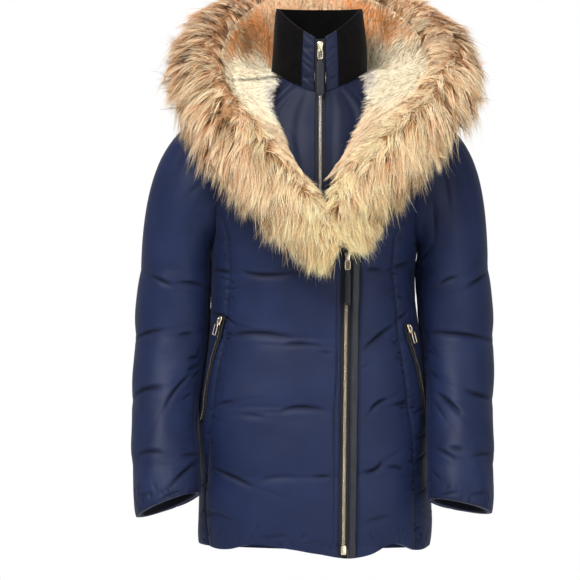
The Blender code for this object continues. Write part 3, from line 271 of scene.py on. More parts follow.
class FurSettings(bpy.types.PropertyGroup):
    """Fur of the parka."""
    long_hair: length("Guard hair", "Length of the trim's hair", 0.046)
    short_hair: length("Lining hair", "Length of the hood lining's pile", 0.018)
    width: length("Hair width", "Width of a guard hair at its root", 0.00082)
    locks: IntProperty(name="Locks", description="Locks of hair on each strand of the trim", default=1700,
                       min=100)
    hairs: IntProperty(name="Hairs", description="Hairs on each half of a strand", default=21000, min=100)
    lining_hairs: IntProperty(name="Lining hairs", description="Hairs of the hood lining", default=26000,
                              min=100)
    root: colour("Root", "Colour at the root", (0.06, 0.026, 0.012))
    middle: colour("Middle", "Colour halfway up", (0.72, 0.41, 0.205))
    tip: colour("Tip", "Colour at the tip", (1.000, 0.93, 0.76))


class MetalSettings(bpy.types.PropertyGroup):
    """Zips and pulls."""
    gold: colour("Gold", "Colour of sliders, rings and teeth", (0.8, 0.69, 0.5))
    steel: colour("Pale teeth", "Colour of the bib zip's teeth", (0.85, 0.83, 0.8))
    pitch: length("Tooth pitch", "From one tooth to the next on the same side", 0.0027)


class StageSettings(bpy.types.PropertyGroup):
    """Floor and light."""
    floor: colour("Floor", "Colour of the floor", (0.86, 0.86, 0.86))
    key: FloatProperty(name="Key", description="Power of the key light", default=158.0, unit="POWER")
    fill: FloatProperty(name="Fill", description="Power of the fill light", default=38.0, unit="POWER")
    rim: FloatProperty(name="Rim", description="Power of the light from behind", default=36.0, unit="POWER")
    world: share("World", "Light of the surroundings", 0.44)
    mirrored: share("Mirrored", "Brightness of the surroundings in glossy cloth and metal", 0.4)


# ---- Curves and surfaces of the coat ----

def hermite(t, start, leave, end, arrive):
    """A cubic run from one value to another, with a given slope at each end."""
    return ((2 * t**3 - 3 * t**2 + 1) * start + (t**3 - 2 * t**2 + t) * leave
            + (3 * t**2 - 2 * t**3) * end + (t**3 - t**2) * arrive)


def smooth(at, knots, values):
    """Cubic curve through a table's rows: Hermite pieces whose slopes are those of the neighbouring rows."""
    at = np.clip(np.asarray(at, float), knots[0], knots[-1])
    slopes = np.gradient(values, knots, axis=0)
    i = np.clip(np.searchsorted(knots, at) - 1, 0, len(knots) - 2)
    span = knots[i + 1] - knots[i]
    t = (at - knots[i]) / span
    if values.ndim > 1:
        t, span = t[..., None], span[..., None]
    return hermite(t, values[i], span * slopes[i], values[i + 1], span * slopes[i + 1])


def signed_power(value, power):
    return np.sign(value) * np.abs(value) ** power


def wrap(angle):
    """The same angle between minus and plus half a turn."""
    return (angle + pi) % (2 * pi) - pi


def unit(vectors):
    return vectors / np.maximum(np.linalg.norm(vectors, axis=-1, keepdims=True), 1e-12)


def dot(a, b):
    return np.sum(a * b, -1, keepdims=True)


def ring_point(z, angle):
    """A point of the coat's plain surface: angle 0 is centre front, a quarter turn is the wearer's left."""
    half, front, back, square, shift = np.moveaxis(smooth(z, COAT[:, 0], COAT[:, 1:]), -1, 0)
    across = signed_power(np.sin(angle), 2 / square)
    ahead = signed_power(np.cos(angle), 2 / square)
    depth = np.where(np.cos(angle) > 0, front, back)
    return np.stack([shift + half * across, -depth * ahead, z + 0 * angle], -1)


def coat(z, angle, out=0.0):
    """Points a given distance outside the coat's plain surface, along its normals."""
    z, angle = np.broadcast_arrays(np.asarray(z, float), np.asarray(angle, float))
    step = 1e-3
    around = ring_point(z, angle + step) - ring_point(z, angle - step)
    upward = ring_point(z + step, angle) - ring_point(z - step, angle)
    return ring_point(z, angle) + unit(np.cross(around, upward)) * np.asarray(out)[..., None]


def baffle(z):
    """How far the inner baffles draw the cloth in: softly, and most at each baffle."""
    phase = np.abs(np.sin(pi * (z - QUILT_TOP) / QUILT_PITCH))
    return -0.55 * QUILT_DEPTH * (1 - phase) ** 2


def angle_at(z, x):
    """The angle on the front half at which the coat's ring at a height has a given x."""
    half, _, _, square, shift = np.moveaxis(smooth(z, COAT[:, 0], COAT[:, 1:]), -1, 0)
    ratio = np.clip((x - shift) / half, -0.995, 0.995)
    return np.arcsin(signed_power(ratio, square / 2))


def hem_shift(angle):
    """The hem's rise or fall round the coat."""
    return -smooth(np.degrees(wrap(angle)), HEM_DROP[:, 0], HEM_DROP[:, 1])


HEM_REACH = 0.16  # height over which the hem's rise or fall fades out


def hem_lift(angle, z):
    """Heights of plain rows once they follow the hem's rise and fall."""
    return z + hem_shift(angle) * np.clip((HEM + HEM_REACH - z) / HEM_REACH, 0, 1) ** 2


def armhole_heights(steps):
    return ARM_MIDDLE + ARM_HALF * np.cos(np.linspace(pi, 0, steps + 1))


def armhole_angle(z, back=False):
    """The armhole's edge: an ellipse in side view, given as an angle from centre front."""
    reach = ARM_REACH * np.sqrt(np.clip(1 - ((z - ARM_MIDDLE) / ARM_HALF) ** 2, 0, 1))
    _, front, rear, square, _ = np.moveaxis(smooth(z, COAT[:, 0], COAT[:, 1:]), -1, 0)
    turn = np.arccos(np.clip(reach / (rear if back else front), 0, 1) ** (square / 2))
    return pi - turn if back else turn


def half_gap(z, angle, sign, width=SEAM / 2):
    """The angle that spans a width along the coat's ring, found by halving."""
    low, high = 0 * angle, 0 * angle + 0.01 + width / 0.05
    for _ in range(24):
        middle = (low + high) / 2
        wide = np.linalg.norm(ring_point(z, angle + sign * middle) - ring_point(z, angle), axis=-1) > width
        low, high = np.where(wide, low, middle), np.where(wide, middle, high)
    return high


def edge(table, rows, column):
    return np.interp(rows, table[:, 0], table[:, column])


def seam_limit(rows, seam, back=False):
    """A princess seam: its own line, a straight run into the armhole, then the armhole's edge."""
    last, before = PRINCESS[-1, 0], ARM_MIDDLE - ARM_HALF * np.cos(radians(45))
    tip = armhole_angle(np.array([last]), back)[0] + (POINT if back else -POINT)
    start = seam(np.array([before]))[0]
    run = start + (tip - start) * np.clip((rows - before) / (last - before), 0, 1)
    limit = np.where(rows < before, seam(rows), run)
    limit = np.where(rows > last + 1e-5, armhole_angle(rows, back), limit)
    return np.where(rows > ARM_TOP + 1e-6, pi / 2, limit)


def front_seam(rows, side):
    sign = SIDES[side]
    return seam_limit(rows, lambda z: sign * angle_at(z, edge(PRINCESS, z, 1 if side == "right" else 2)))


def back_seam(rows):
    return seam_limit(rows, lambda z: pi - angle_at(z, edge(PRINCESS, z, 3)), back=True)


def ordered(sign, near, far):
    """Two outward angles as the lower and the higher angle round the coat."""
    return (near, far) if sign > 0 else (-far, -near)


# ---- Relief of the cloth ----

DRAFT_UNITS = np.array([0.01] * 5 + [0.001] * 2)  # of a crease table's columns, where x is a length
TURNED_UNITS = np.array([1, 0.01, 1, 0.01, 0.01, 0.001, 0.001])  # the same where it gives angles in degrees
STEEP, SHALLOW = 0.4, 0.85  # width of a crease's upper and lower wall against its drafted half width
DARK_DEPTH = 0.0036  # depth of a crease whose bottom lies in full shade


def troughs(around, along, table, radius):
    """Soft troughs, steeper above than below, with a low ridge on each side. A crease runs between two points
    of the cloth on a line bowed like a parabola; its depth rises from nothing at one end to full and falls to
    nothing at the other. Returns the rise of the cloth and the shade to be painted at each point in a fold,
    from 0 to 1."""
    rise = np.zeros(np.broadcast(around, along).shape)
    fold = np.zeros(rise.shape)
    for a0, z0, a1, z1, bow, depth, wide in table:
        du, dv = wrap(a1 - a0) * radius, z1 - z0
        span = np.hypot(du, dv)
        u, v = wrap(around - a0) * radius, along - z0
        t = np.clip((u * du + v * dv) / span**2, 0, 1)
        s = ((v * du - u * dv) / span * np.sign(du) - bow * 4 * t * (1 - t)) / wide
        beyond = np.hypot(u - t * du, v - t * dv)
        taper = np.sin(pi * np.clip(0.02 + 0.96 * t, 0, 1)) ** 0.75
        taper = taper * np.exp(-((beyond / (6 * wide + 0.02)) ** 4))
        s = np.where(s > 0, s / STEEP, s / SHALLOW)
        ridges = 0.14 * np.exp(-(((s - 2.2) / 1.6) ** 2)) + 0.12 * np.exp(-(((s + 1.9) / 1.3) ** 2))
        rise += depth * taper * (ridges - np.exp(-np.abs(s) ** 1.5))
        fold = np.maximum(fold, min(1.0, depth / DARK_DEPTH) * taper * np.exp(-(((s - 0.3) / 1.0) ** 2)))
    return rise, fold


def front_rows(table):
    """A front crease table in metres, its x turned into angles."""
    rows = np.array(table, float) * DRAFT_UNITS
    rows[:, 0], rows[:, 2] = angle_at(rows[:, 1], rows[:, 0]), angle_at(rows[:, 3], rows[:, 2])
    return rows


def turned_rows(table):
    """A crease table given in degrees, in radians and metres."""
    rows = np.array(table, float) * TURNED_UNITS
    rows[:, 0], rows[:, 2] = np.radians(rows[:, 0]), np.radians(rows[:, 2])
    return rows


def sleeve_rows(side, table):
    """A sleeve crease table in metres, its x made into the turn on the sleeve's front half."""
    rows = np.array(table, float) * DRAFT_UNITS
    for x, z in ((0, 1), (2, 3)):
        centre, _, half, _ = smooth(-rows[:, z], -SLEEVES[side][:, 0], SLEEVES[side][:, 1:]).T
        rows[:, x] = np.arccos(np.clip((np.abs(rows[:, x]) - centre) / half, -0.99, 0.99))
    return rows


def gathers(rng, radius, around, up, count, size, depth, wide, spread=0.006):
    """Short creases that start beside a sewn line and run off it on either side, as the thread gathers the
    cloth. The line is given by its angles and heights."""
    line = np.stack(np.broadcast_arrays(around, up), -1)
    place = rng.uniform(0, 1, count)
    knots = np.linspace(0, 1, len(line))
    middle = np.stack([np.interp(place, knots, line[:, i]) for i in (0, 1)], -1)
    ahead = np.stack([np.interp(place, knots, np.gradient(line[:, i])) for i in (0, 1)], -1)
    lean = np.arctan2(ahead[:, 1], ahead[:, 0] * radius) + pi / 2 + rng.normal(0, 0.45, count)
    reach = rng.uniform(0.4, 1.0, count) * size
    side = rng.choice([-1.0, 1.0], count)
    start = rng.uniform(-spread, spread, count)
    run = np.stack([np.cos(lean) / radius, np.sin(lean)], -1) * side[:, None]
    first, last = middle + run * start[:, None], middle + run * (start + reach)[:, None]
    bow = rng.normal(0, 0.08, count) * reach
    depths, widths = rng.uniform(0.35, 1, count) * depth, rng.uniform(0.7, 1.3, count) * wide
    return np.column_stack([first, last, bow, depths, widths])


def waves(around, along, seed, size, height):
    """Slow swells of the filling: a few cosines, each a whole number of waves round the piece."""
    rng = np.random.default_rng(seed)
    total = np.zeros(np.broadcast(around, along).shape)
    for _ in range(14):
        k = rng.integers(1, 9)
        total += np.cos(k * around + rng.uniform(-1, 1) * 2 * pi * along / size + rng.uniform(0, 2 * pi))
    return height * total / 3.7


def body_creases():
    """The body's creases: drafted ones, and seeded gathers along seams, armholes, pockets and hem."""
    rng = np.random.default_rng(21)
    low, arm, hem = np.linspace(-0.74, -0.235, 60), armhole_heights(40), np.linspace(-pi, pi, 80)
    lines = []
    for side, sign in SIDES.items():
        up, x = POCKETS[side].T
        lines += [
            (sign * front_seam(low, side), low, 70, 0.022, 0.0024, 0.003),
            (sign * back_seam(low), low, 60, 0.02, 0.002, 0.003),
            (sign * pi / 2, low, 34, 0.024, 0.0018, 0.0034),
            (sign * armhole_angle(arm), arm, 34, 0.026, 0.0028, 0.0034, 0.012),
            (sign * angle_at(up, x), up, 22, 0.018, 0.0018, 0.0028),
        ]
    lines.append((hem, HEM + 0.016 + hem_shift(hem), 150, 0.018, 0.0016, 0.003))
    drafted = [front_rows(FRONT_CREASES), turned_rows(BACK_CREASES)]
    return np.concatenate(drafted + [gathers(rng, GIRTH, *line) for line in lines])


def armhole_fade(z, angle):
    """Nothing at the armhole's edge, whole from 2 cm away, so that the panels meet the sleeves."""
    y = ring_point(z, angle)[..., 1]
    away = (np.sqrt((y / ARM_REACH) ** 2 + ((z - ARM_MIDDLE) / ARM_HALF) ** 2) - 1) * 0.09
    t = np.clip(away / 0.02, 0, 1)
    return t * t * (3 - 2 * t)


def contact(angle, z):
    """Whole where the coat's sides lie against the sleeves, nothing elsewhere."""
    beside = np.exp(-(((np.abs(wrap(angle)) - pi / 2) / radians(24)) ** 4))
    return beside * np.clip((-0.24 - z) / 0.03, 0, 1) * np.clip((z + 0.62) / 0.04, 0, 1)


def held(out, share_held):
    """Cloth that presses against its neighbour is hardly drawn in there and hardly rises."""
    return out * (1 - share_held) + np.clip(out, -0.0003, 0.0004) * share_held


def press(sign, z):
    """How far the down of body and sleeve bulges where they touch: all along the wearer's right arm, and on
    the left only above and below the waist, where a sliver of light shows between them."""
    open_waist = np.clip((z + 0.432) / 0.01, 0, 1) * np.clip((-0.34 - z) / 0.01, 0, 1) * (sign > 0)
    return (0.001 + 0.0016 * np.exp(-(((z + 0.275) / 0.018) ** 2))) * (1 - 0.45 * open_waist)


def under_fur(angle, z):
    """Whole where the fur and the hood's lining lie on the fronts, nothing 3 cm below them."""
    return np.clip((z + 0.215) / 0.03, 0, 1) * np.clip((np.cos(angle) - 0.2) / 0.2, 0, 1)


def relief(angle, z):
    """Rise of the coat's cloth over its plain surface and the painted shade in its folds: creases, gathers
    and swells.
    """
    cloth = bpy.context.scene.parka_cloth
    table = body_creases()
    drafted = len(FRONT_CREASES) + len(BACK_CREASES)
    table[:drafted, 5] *= cloth.crease
    table[drafted:, 5] *= cloth.crumple
    rise, fold = troughs(wrap(angle), z, table, GIRTH)
    rise = (rise + waves(angle, z, 5, 0.09, cloth.puff * 0.6)) * armhole_fade(z, angle)
    rise = rise - np.maximum(rise, 0) * under_fur(angle, z)
    return np.clip(rise, -0.0058, 0.005), fold


# ---- Meshes ----

def outwards(points, groups):
    """The same faces, turned over where the closed mesh is inside out, so that its volume is positive."""
    volume = 0.0
    for group in groups:
        for i in range(1, group.shape[1] - 1):
            a, b, c = (points[group[:, j]] for j in (0, i, i + 1))
            volume += float(np.einsum("ij,ij->i", a, np.cross(b, c)).sum())
    return [group[:, ::-1] for group in groups] if volume < 0 else groups


def make_mesh(name, points, groups, uv=None, zone=None):
    """A mesh from points, groups of faces with equal numbers of corners, and one or two maps by point."""
    points = np.asarray(points, float).reshape(-1, 3)
    groups = outwards(points, groups)
    corners = np.concatenate([group.ravel() for group in groups]).astype(np.int32)
    sizes = np.concatenate([np.full(len(group), group.shape[1]) for group in groups])
    starts = np.concatenate([[0], np.cumsum(sizes)[:-1]]).astype(np.int32)
    mesh = bpy.data.meshes.new(name)
    mesh.vertices.add(len(points))
    mesh.vertices.foreach_set("co", points.astype(np.float32).ravel())
    mesh.loops.add(len(corners))
    mesh.loops.foreach_set("vertex_index", corners)
    mesh.polygons.add(len(starts))
    mesh.polygons.foreach_set("loop_start", starts)
    mesh.update(calc_edges=True)
    for label, values in (("cloth", uv), ("zone", zone)):
        if values is not None:
            layer = mesh.uv_layers.new(name=label)
            layer.data.foreach_set("uv", np.asarray(values, np.float32).reshape(-1, 2)[corners].ravel())
    return mesh


def shade(mesh, angle=45):
    mesh.shade_smooth()
    mesh.set_sharp_from_angle(angle=radians(angle))
    return mesh


def add_piece(mesh, finish, body="coat", replaces=()):
    """Links a finished mesh, gives it its finish and sets it on its body."""
    made = bpy.data.objects.new(mesh.name, mesh)
    bpy.context.scene.collection.objects.link(made)
    mesh.materials.append(material(finish))
    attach(made, body)
    if replaces:
        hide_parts(*replaces)
    return made


def rim(near, far, backwards):
    """Fans between a fine edge and a coarser one that has a point for every few of the fine one's."""
    stride = (len(near) - 1) // (len(far) - 1)
    steps = np.arange(len(far) - 1)[:, None] * stride + np.arange(stride + 1)
    faces = np.hstack([near[steps], far[1:, None], far[:-1, None]])
    return faces[:, ::-1] if backwards else faces


def sheet_faces(index):
    return np.stack([index[:-1, :-1], index[:-1, 1:], index[1:, 1:], index[1:, :-1]], -1).reshape(-1, 4)


def numbered(grid, start=0, tube=False):
    """The point numbers of a grid. A tube's last column is its first."""
    index = np.arange(grid.shape[0] * grid.shape[1]).reshape(grid.shape[:2]) + start
    return np.hstack([index, index[:, :1]]) if tube else index


def wall_mesh(name, outer, inner, uv=None, tube=False, fold=None):
    """A closed wall: a fine outer grid, a coarser inner grid and fans round the rims. The map runs in metres
    of cloth, so that the weave keeps its size. A second map holds the painted shade of folds and seams."""
    (rows, columns), (inner_rows, inner_columns) = outer.shape[:2], inner.shape[:2]
    near, far = numbered(outer, 0, tube), numbered(inner, rows * columns, tube)
    groups = [sheet_faces(near), sheet_faces(far)[:, ::-1]]
    groups += [rim(near[0], far[0], True), rim(near[-1], far[-1], False)]
    if not tube:
        groups += [rim(near[:, 0], far[:, 0], False), rim(near[:, -1], far[:, -1], True)]
    if uv is not None:
        row_step = (rows - 1) // (inner_rows - 1)
        column_step = columns // inner_columns if tube else (columns - 1) // (inner_columns - 1)
        uv = np.concatenate([uv.reshape(-1, 2), uv[::row_step, ::column_step].reshape(-1, 2)])
    zone = None
    if fold is not None:
        zone = np.zeros((rows * columns + inner_rows * inner_columns, 2))
        zone[:rows * columns, 0] = fold.ravel()
    points = np.concatenate([outer.reshape(-1, 3), inner.reshape(-1, 3)])
    return shade(make_mesh(name, points, groups, uv, zone))


def edge_dip(gap, depth, reach=0.0045):
    """How far the sewing draws the cloth in at a distance from the seam."""
    return -depth * np.exp(-((gap / reach) ** 1.3))


def closed_grid(rings, ends=None):
    """Points and faces of a roll through rings, closed by fans to their middles or to two given points."""
    rows, columns = rings.shape[:2]
    index = numbered(rings, tube=True)
    first, last = np.full(columns, rows * columns), np.full(columns, rows * columns + 1)
    fans = np.vstack([np.column_stack([first, index[0, 1:], index[0, :-1]]),
                      np.column_stack([last, index[-1, :-1], index[-1, 1:]])])
    ends = (rings[0].mean(0), rings[-1].mean(0)) if ends is None else ends
    return np.vstack([rings.reshape(-1, 3), *ends]), [sheet_faces(index), fans]


def scatter(name, template, faces, places, axes):
    """One small shape repeated at many places, each turned by its own three axes, as one mesh."""
    points = places[:, None] + np.einsum("tk,nkj->ntj", template, axes)
    offset = (np.arange(len(places)) * len(template))[:, None, None]
    mesh = make_mesh(name, points.reshape(-1, 3), [(f[None] + offset).reshape(-1, f.shape[1]) for f in faces])
    mesh.shade_smooth()
    return mesh


def ring_turns(sides):
    """Angles evenly round a ring, whose last point isn't its first."""
    return np.linspace(0, 2 * pi, sides + 1)[:-1]


def capsule(sides, rings):
    """A small closed shape along its second axis: rings as (place, half width, half height), pointed ends."""
    turn = ring_turns(sides)
    inner = np.array(rings[1:-1])
    x, y, z = inner[:, 1:2] * np.cos(turn), inner[:, :1] + 0 * turn, inner[:, 2:] * np.sin(turn)
    return closed_grid(np.stack([x, y, z], -1), [[0, rings[0][0], 0], [0, rings[-1][0], 0]])


# ---- Materials ----

def add_node(tree, kind, settings=None, **inputs):
    """A shader node with its settings; each input is a value or another node's output."""
    made = tree.nodes.new(kind)
    for key, value in (settings or {}).items():
        setattr(made, key, value)
    for key, value in inputs.items():
        socket = made.inputs[int(key[1:])] if key[1:].isdigit() else made.inputs[key.replace("_", " ")]
        if isinstance(value, bpy.types.NodeSocket):
            tree.links.new(value, socket)
        else:
            socket.default_value = value
    return made


LOOK = "parka_"  # start of the name of every material made here


def new_material(name, base, roughness, metallic=0.0, **constants):
    made = bpy.data.materials.new(LOOK + name)
    made.use_nodes = True
    shader = made.node_tree.nodes["Principled BSDF"]
    shader.inputs["Base Color"].default_value = (*base, 1)
    shader.inputs["Roughness"].default_value = roughness
    shader.inputs["Metallic"].default_value = metallic
    for key, value in constants.items():
        shader.inputs[key.replace("_", " ")].default_value = value
    return made, made.node_tree, shader


def patched_material(name, base, roughness, scale, amount, metallic=0.0, **constants):
    """A new material whose colour varies in soft patches, with the coordinates that it reads."""
    made, tree, shader = new_material(name, base, roughness, metallic, **constants)
    place = object_place(tree)
    tree.links.new(varied(tree, base, place, scale, amount), shader.inputs["Base Color"])
    return made, tree, shader, place


def object_place(tree):
    return add_node(tree, "ShaderNodeTexCoord").outputs["Object"]


def own_map(tree, label):
    return add_node(tree, "ShaderNodeUVMap", {"uv_map": label}).outputs["UV"]


def noise(tree, place, scale, detail=3.0, **more):
    made = add_node(tree, "ShaderNodeTexNoise", Vector=place, Scale=scale, Detail=detail, **more)
    return made.outputs["Fac"]


def wave(tree, place, direction, scale, **more):
    settings = {"bands_direction": direction}
    return add_node(tree, "ShaderNodeTexWave", settings, Vector=place, Scale=scale, **more).outputs["Fac"]


def maths(tree, operation, a, b=0.0, clamp=False):
    settings = {"operation": operation, "use_clamp": clamp}
    return add_node(tree, "ShaderNodeMath", settings, _0=a, _1=b).outputs[0]


def one_less(tree, value, amount):
    """One less a share of a value, and never below nothing."""
    return maths(tree, "SUBTRACT", 1.0, maths(tree, "MULTIPLY", value, amount), clamp=True)


def scaled(tree, tone, factor):
    return add_node(tree, "ShaderNodeVectorMath", {"operation": "SCALE"}, _0=tone, Scale=factor).outputs[0]


def bump(tree, shader, *layers):
    """Bumps stacked on each other: height output, strength and distance of each."""
    normal = None
    for height, strength, distance in layers:
        made = add_node(tree, "ShaderNodeBump", Strength=strength, Distance=distance, Height=height)
        if normal is not None:
            tree.links.new(normal, made.inputs["Normal"])
        normal = made.outputs["Normal"]
    tree.links.new(normal, shader.inputs["Normal"])


def ramp(tree, factor, stops):
    """Colour ramp through (place, colour) stops."""
    made = add_node(tree, "ShaderNodeValToRGB", Fac=factor)
    elements = made.color_ramp.elements
    while len(elements) < len(stops):
        elements.new(0.5)
    for element, (place, value) in zip(elements, stops):
        element.position = place
        element.color = (*value, 1)
    return made.outputs["Color"]


def varied(tree, base, coordinate, scale, amount):
    """A colour made a little lighter and darker in soft patches."""
    dark = tuple(value * (1 - amount) for value in base)
    light = tuple(min(1.0, value * (1 + amount)) for value in base)
    return ramp(tree, noise(tree, coordinate, scale), [(0.3, dark), (0.7, light)])


def worn(tree, shader, wear, smoothest, roughest):
    """Roughness that follows a wear pattern."""
    made = add_node(tree, "ShaderNodeMapRange", Value=wear, To_Min=smoothest, To_Max=roughest)
    tree.links.new(made.outputs[0], shader.inputs["Roughness"])


def nylon_material(name, base, roughness=0.5):
    """Semi-matte woven nylon: a fine weave along the cloth's own map, small crumples and a soft sheen. Shade
    is painted into its colour in the depth of folds and along seams, where it is also rougher."""
    made, tree, shader = new_material(name, base, roughness, Sheen_Weight=0.04, Sheen_Roughness=0.35,
                                      Specular_IOR_Level=0.17)
    place, cloth = object_place(tree), own_map(tree, "cloth")
    fold = add_node(tree, "ShaderNodeSeparateXYZ", Vector=own_map(tree, "zone")).outputs["X"]
    # Painted shade: the second map's shade of folds and seams darkens the colour
    tone = scaled(tree, varied(tree, base, place, 17.0, 0.16), one_less(tree, fold, 0.85))
    tree.links.new(tone, shader.inputs["Base Color"])
    dull = maths(tree, "ADD", roughness, maths(tree, "MULTIPLY", fold, 0.35))
    tree.links.new(dull, shader.inputs["Roughness"])
    weave = maths(tree, "MULTIPLY", wave(tree, cloth, "X", 820.0), wave(tree, cloth, "Y", 820.0))
    crumple = noise(tree, place, 70.0, 5.0, Roughness=0.55, Distortion=0.8)
    bump(tree, shader, (noise(tree, place, 24.0), 0.1, 0.01), (crumple, 0.08, 0.003), (weave, 0.25, 0.0001))
    return made


def velvet_material(base):
    """Short black pile: nearly no gloss, a dull sheen at grazing angles and brushed patches."""
    made, tree, shader, place = patched_material("black_velvet", base, 0.95, 60.0, 0.5, Sheen_Weight=0.04,
                                                 Sheen_Roughness=0.4, Specular_IOR_Level=0.1)
    bump(tree, shader, (noise(tree, place, 50.0), 0.3, 0.004), (noise(tree, place, 1600.0, 2.0), 0.5, 0.0004))
    return made


def leather_material(base):
    """Smooth grained leather: fine cells and slightly worn gloss."""
    made, tree, shader, place = patched_material("black_leather", base, 0.45, 90.0, 0.25,
                                                 Specular_IOR_Level=0.35)
    cells = add_node(tree, "ShaderNodeTexVoronoi", {"feature": "DISTANCE_TO_EDGE"}, Vector=place, Scale=900.0)
    wear = noise(tree, place, 120.0, 4.0)
    worn(tree, shader, wear, 0.32, 0.52)
    bump(tree, shader, (wear, 0.2, 0.001), (cells.outputs["Distance"], 0.35, 0.0002))
    return made


def tape_material(base, name="zip_tape"):
    """Matte woven tape with a fine diagonal weave."""
    made, tree, shader, place = patched_material(name, base, 0.8, 200.0, 0.3, Specular_IOR_Level=0.3)
    bump(tree, shader, (wave(tree, place, "DIAGONAL", 420.0, Distortion=1.0), 0.5, 0.0003))
    return made


def metal_material(name, base, roughness=0.27):
    """Polished plate, finely uneven and a little worn."""
    made, tree, shader, place = patched_material(name, base, roughness, 240.0, 0.12, 1.0)
    wear = noise(tree, place, 700.0, 4.0)
    worn(tree, shader, wear, 0.18, 0.38)
    bump(tree, shader, (wear, 0.1, 0.0001))
    return made


def hide_material(name, base):
    """Dense undercoat: broken by fine noise."""
    made, tree, shader, place = patched_material(name, base, 0.95, 180.0, 0.5, Specular_IOR_Level=0.1)
    bump(tree, shader, (noise(tree, place, 900.0, 4.0), 1.0, 0.002))
    return made


def hair_maps(tree):
    """A hair's place from root to tip and its own tone; then how deep in shade it grows and its hue."""
    maps = []
    for label in ("cloth", "zone"):
        maps += add_node(tree, "ShaderNodeSeparateXYZ", Vector=own_map(tree, label)).outputs[:2]
    return maps


def light_through(tree, shader, tone, amount):
    """Hair is thin enough for a part of the light to pass through it."""
    tree.links.new(tone, shader.inputs["Base Color"])
    light = add_node(tree, "ShaderNodeBsdfTranslucent", Color=tone)
    mixed = add_node(tree, "ShaderNodeMixShader", _0=amount, _1=shader.outputs[0], _2=light.outputs[0])
    tree.links.new(mixed.outputs[0], tree.nodes["Material Output"].inputs["Surface"])


def fur_material(root, middle, tip):
    """Long hair: dark at the root, golden brown halfway and cream at the tip, shifted for each hair by its
    tone. A cool hue turns it rose-brown and a warm one golden."""
    made, tree, shader = new_material("long_fur", middle, 0.5, Specular_IOR_Level=0.3)
    along, tone, shade_depth, hue = hair_maps(tree)
    shift = maths(tree, "MULTIPLY", maths(tree, "SUBTRACT", tone, 0.5), 0.9)
    # Painted shade: hairs deep in shade take a colour nearer the root's
    shift = maths(tree, "SUBTRACT", shift, maths(tree, "MULTIPLY", shade_depth, 0.45))
    place = maths(tree, "ADD", along, shift, clamp=True)
    low, high = (tuple(a + (b - a) * 0.45 for a, b in zip(*pair)) for pair in ((root, middle), (middle, tip)))
    value = ramp(tree, place, [(0.0, root), (0.13, low), (0.3, middle), (0.56, high), (0.85, tip)])
    warm = ramp(tree, hue, [(0.0, (0.98, 0.76, 0.58)), (0.4, (1.0, 0.87, 0.73)), (0.7, (1.0, 0.95, 0.76)),
                            (1.0, (1.0, 0.97, 0.7))])
    multiply = {"data_type": "RGBA", "blend_type": "MULTIPLY"}
    tinted = add_node(tree, "ShaderNodeMix", multiply, _0=1.0, _6=value, _7=warm)
    # Painted shade darkens each hair by its depth in shade
    light_through(tree, shader, scaled(tree, tinted.outputs[2], one_less(tree, shade_depth, 0.75)), 0.22)
    return made


def nap_material():
    """Short dense pile, from grey-lavender over cream and peach to orange-brown, darker at the root."""
    made, tree, shader = new_material("short_fur", (0.7, 0.6, 0.5), 0.7, Specular_IOR_Level=0.2)
    along, tone, shade_depth, hue = hair_maps(tree)
    value = ramp(tree, hue, [(0.0, (0.64, 0.56, 0.53)), (0.3, (1.0, 0.94, 0.74)), (0.45, (0.99, 0.88, 0.66)),
                             (0.68, (0.96, 0.74, 0.5)), (1.0, (0.82, 0.31, 0.07))])
    deep = maths(tree, "ADD", maths(tree, "MULTIPLY", along, 0.5), maths(tree, "MULTIPLY", tone, 0.5))
    deep = maths(tree, "ADD", deep, 0.42, clamp=True)
    # Painted shade: pile deep in shade is darker
    lit = maths(tree, "MULTIPLY", deep, one_less(tree, shade_depth, 0.9))
    light_through(tree, shader, scaled(tree, value, lit), 0.12)
    return made


def material(name):
    """The named material, made on first use from the scene's settings."""
    if LOOK + name in bpy.data.materials:
        return bpy.data.materials[LOOK + name]
    scene = bpy.context.scene
    cloth, fur, metal = scene.parka_cloth, scene.parka_fur, scene.parka_metal
    makers = {
        "navy_nylon": lambda: nylon_material(name, tuple(cloth.nylon)),
        "bib_nylon": lambda: nylon_material(name, tuple(cloth.bib), 0.52),
        "cuff_lining": lambda: nylon_material(name, tuple(cloth.lining), 0.7),
        "black_velvet": lambda: velvet_material(tuple(cloth.velvet)),
        "black_leather": lambda: leather_material(tuple(cloth.leather)),
        "zip_tape": lambda: tape_material(tuple(cloth.tape)),
        "thread": lambda: tape_material(tuple(value * 0.7 for value in cloth.nylon), name),
        "pale_gold": lambda: metal_material(name, tuple(metal.gold)),
        "pocket_teeth": lambda: metal_material(name, tuple(value * 0.3 for value in metal.gold), 0.45),
        "pale_teeth": lambda: metal_material(name, tuple(metal.steel), 0.34),
        "undercoat": lambda: hide_material(name, (0.34, 0.18, 0.085)),
        "lining_hide": lambda: hide_material(name, (0.7, 0.52, 0.34)),
        "long_fur": lambda: fur_material(tuple(fur.root), tuple(fur.middle), tuple(fur.tip)),
        "short_fur": nap_material,
    }
    return makers[name]()


# ---- Body panels and sleeves ----

ARM_FINE = 72  # steps from the armpit to the shoulder point
LOW_FINE = 232  # rows from the hem to the armpit
# The inner face's rows and columns among the outer face's
COARSE = (slice(None, None, 4), slice(None, None, 4))
SHADE_WIDTH, SEAM_SHADE = 0.0022, 0.55  # half width and depth of the shade in a seam


def panel_rows(top):
    """Row heights from the hem up to a given top: even, then closer at the armhole's two ends."""
    low = np.linspace(HEM, ARM_BOTTOM, LOW_FINE + 1)
    rows = np.concatenate([low[:-1], armhole_heights(ARM_FINE), np.linspace(ARM_TOP, -0.001, 13)[1:]])
    return rows[rows <= top + 1e-9]


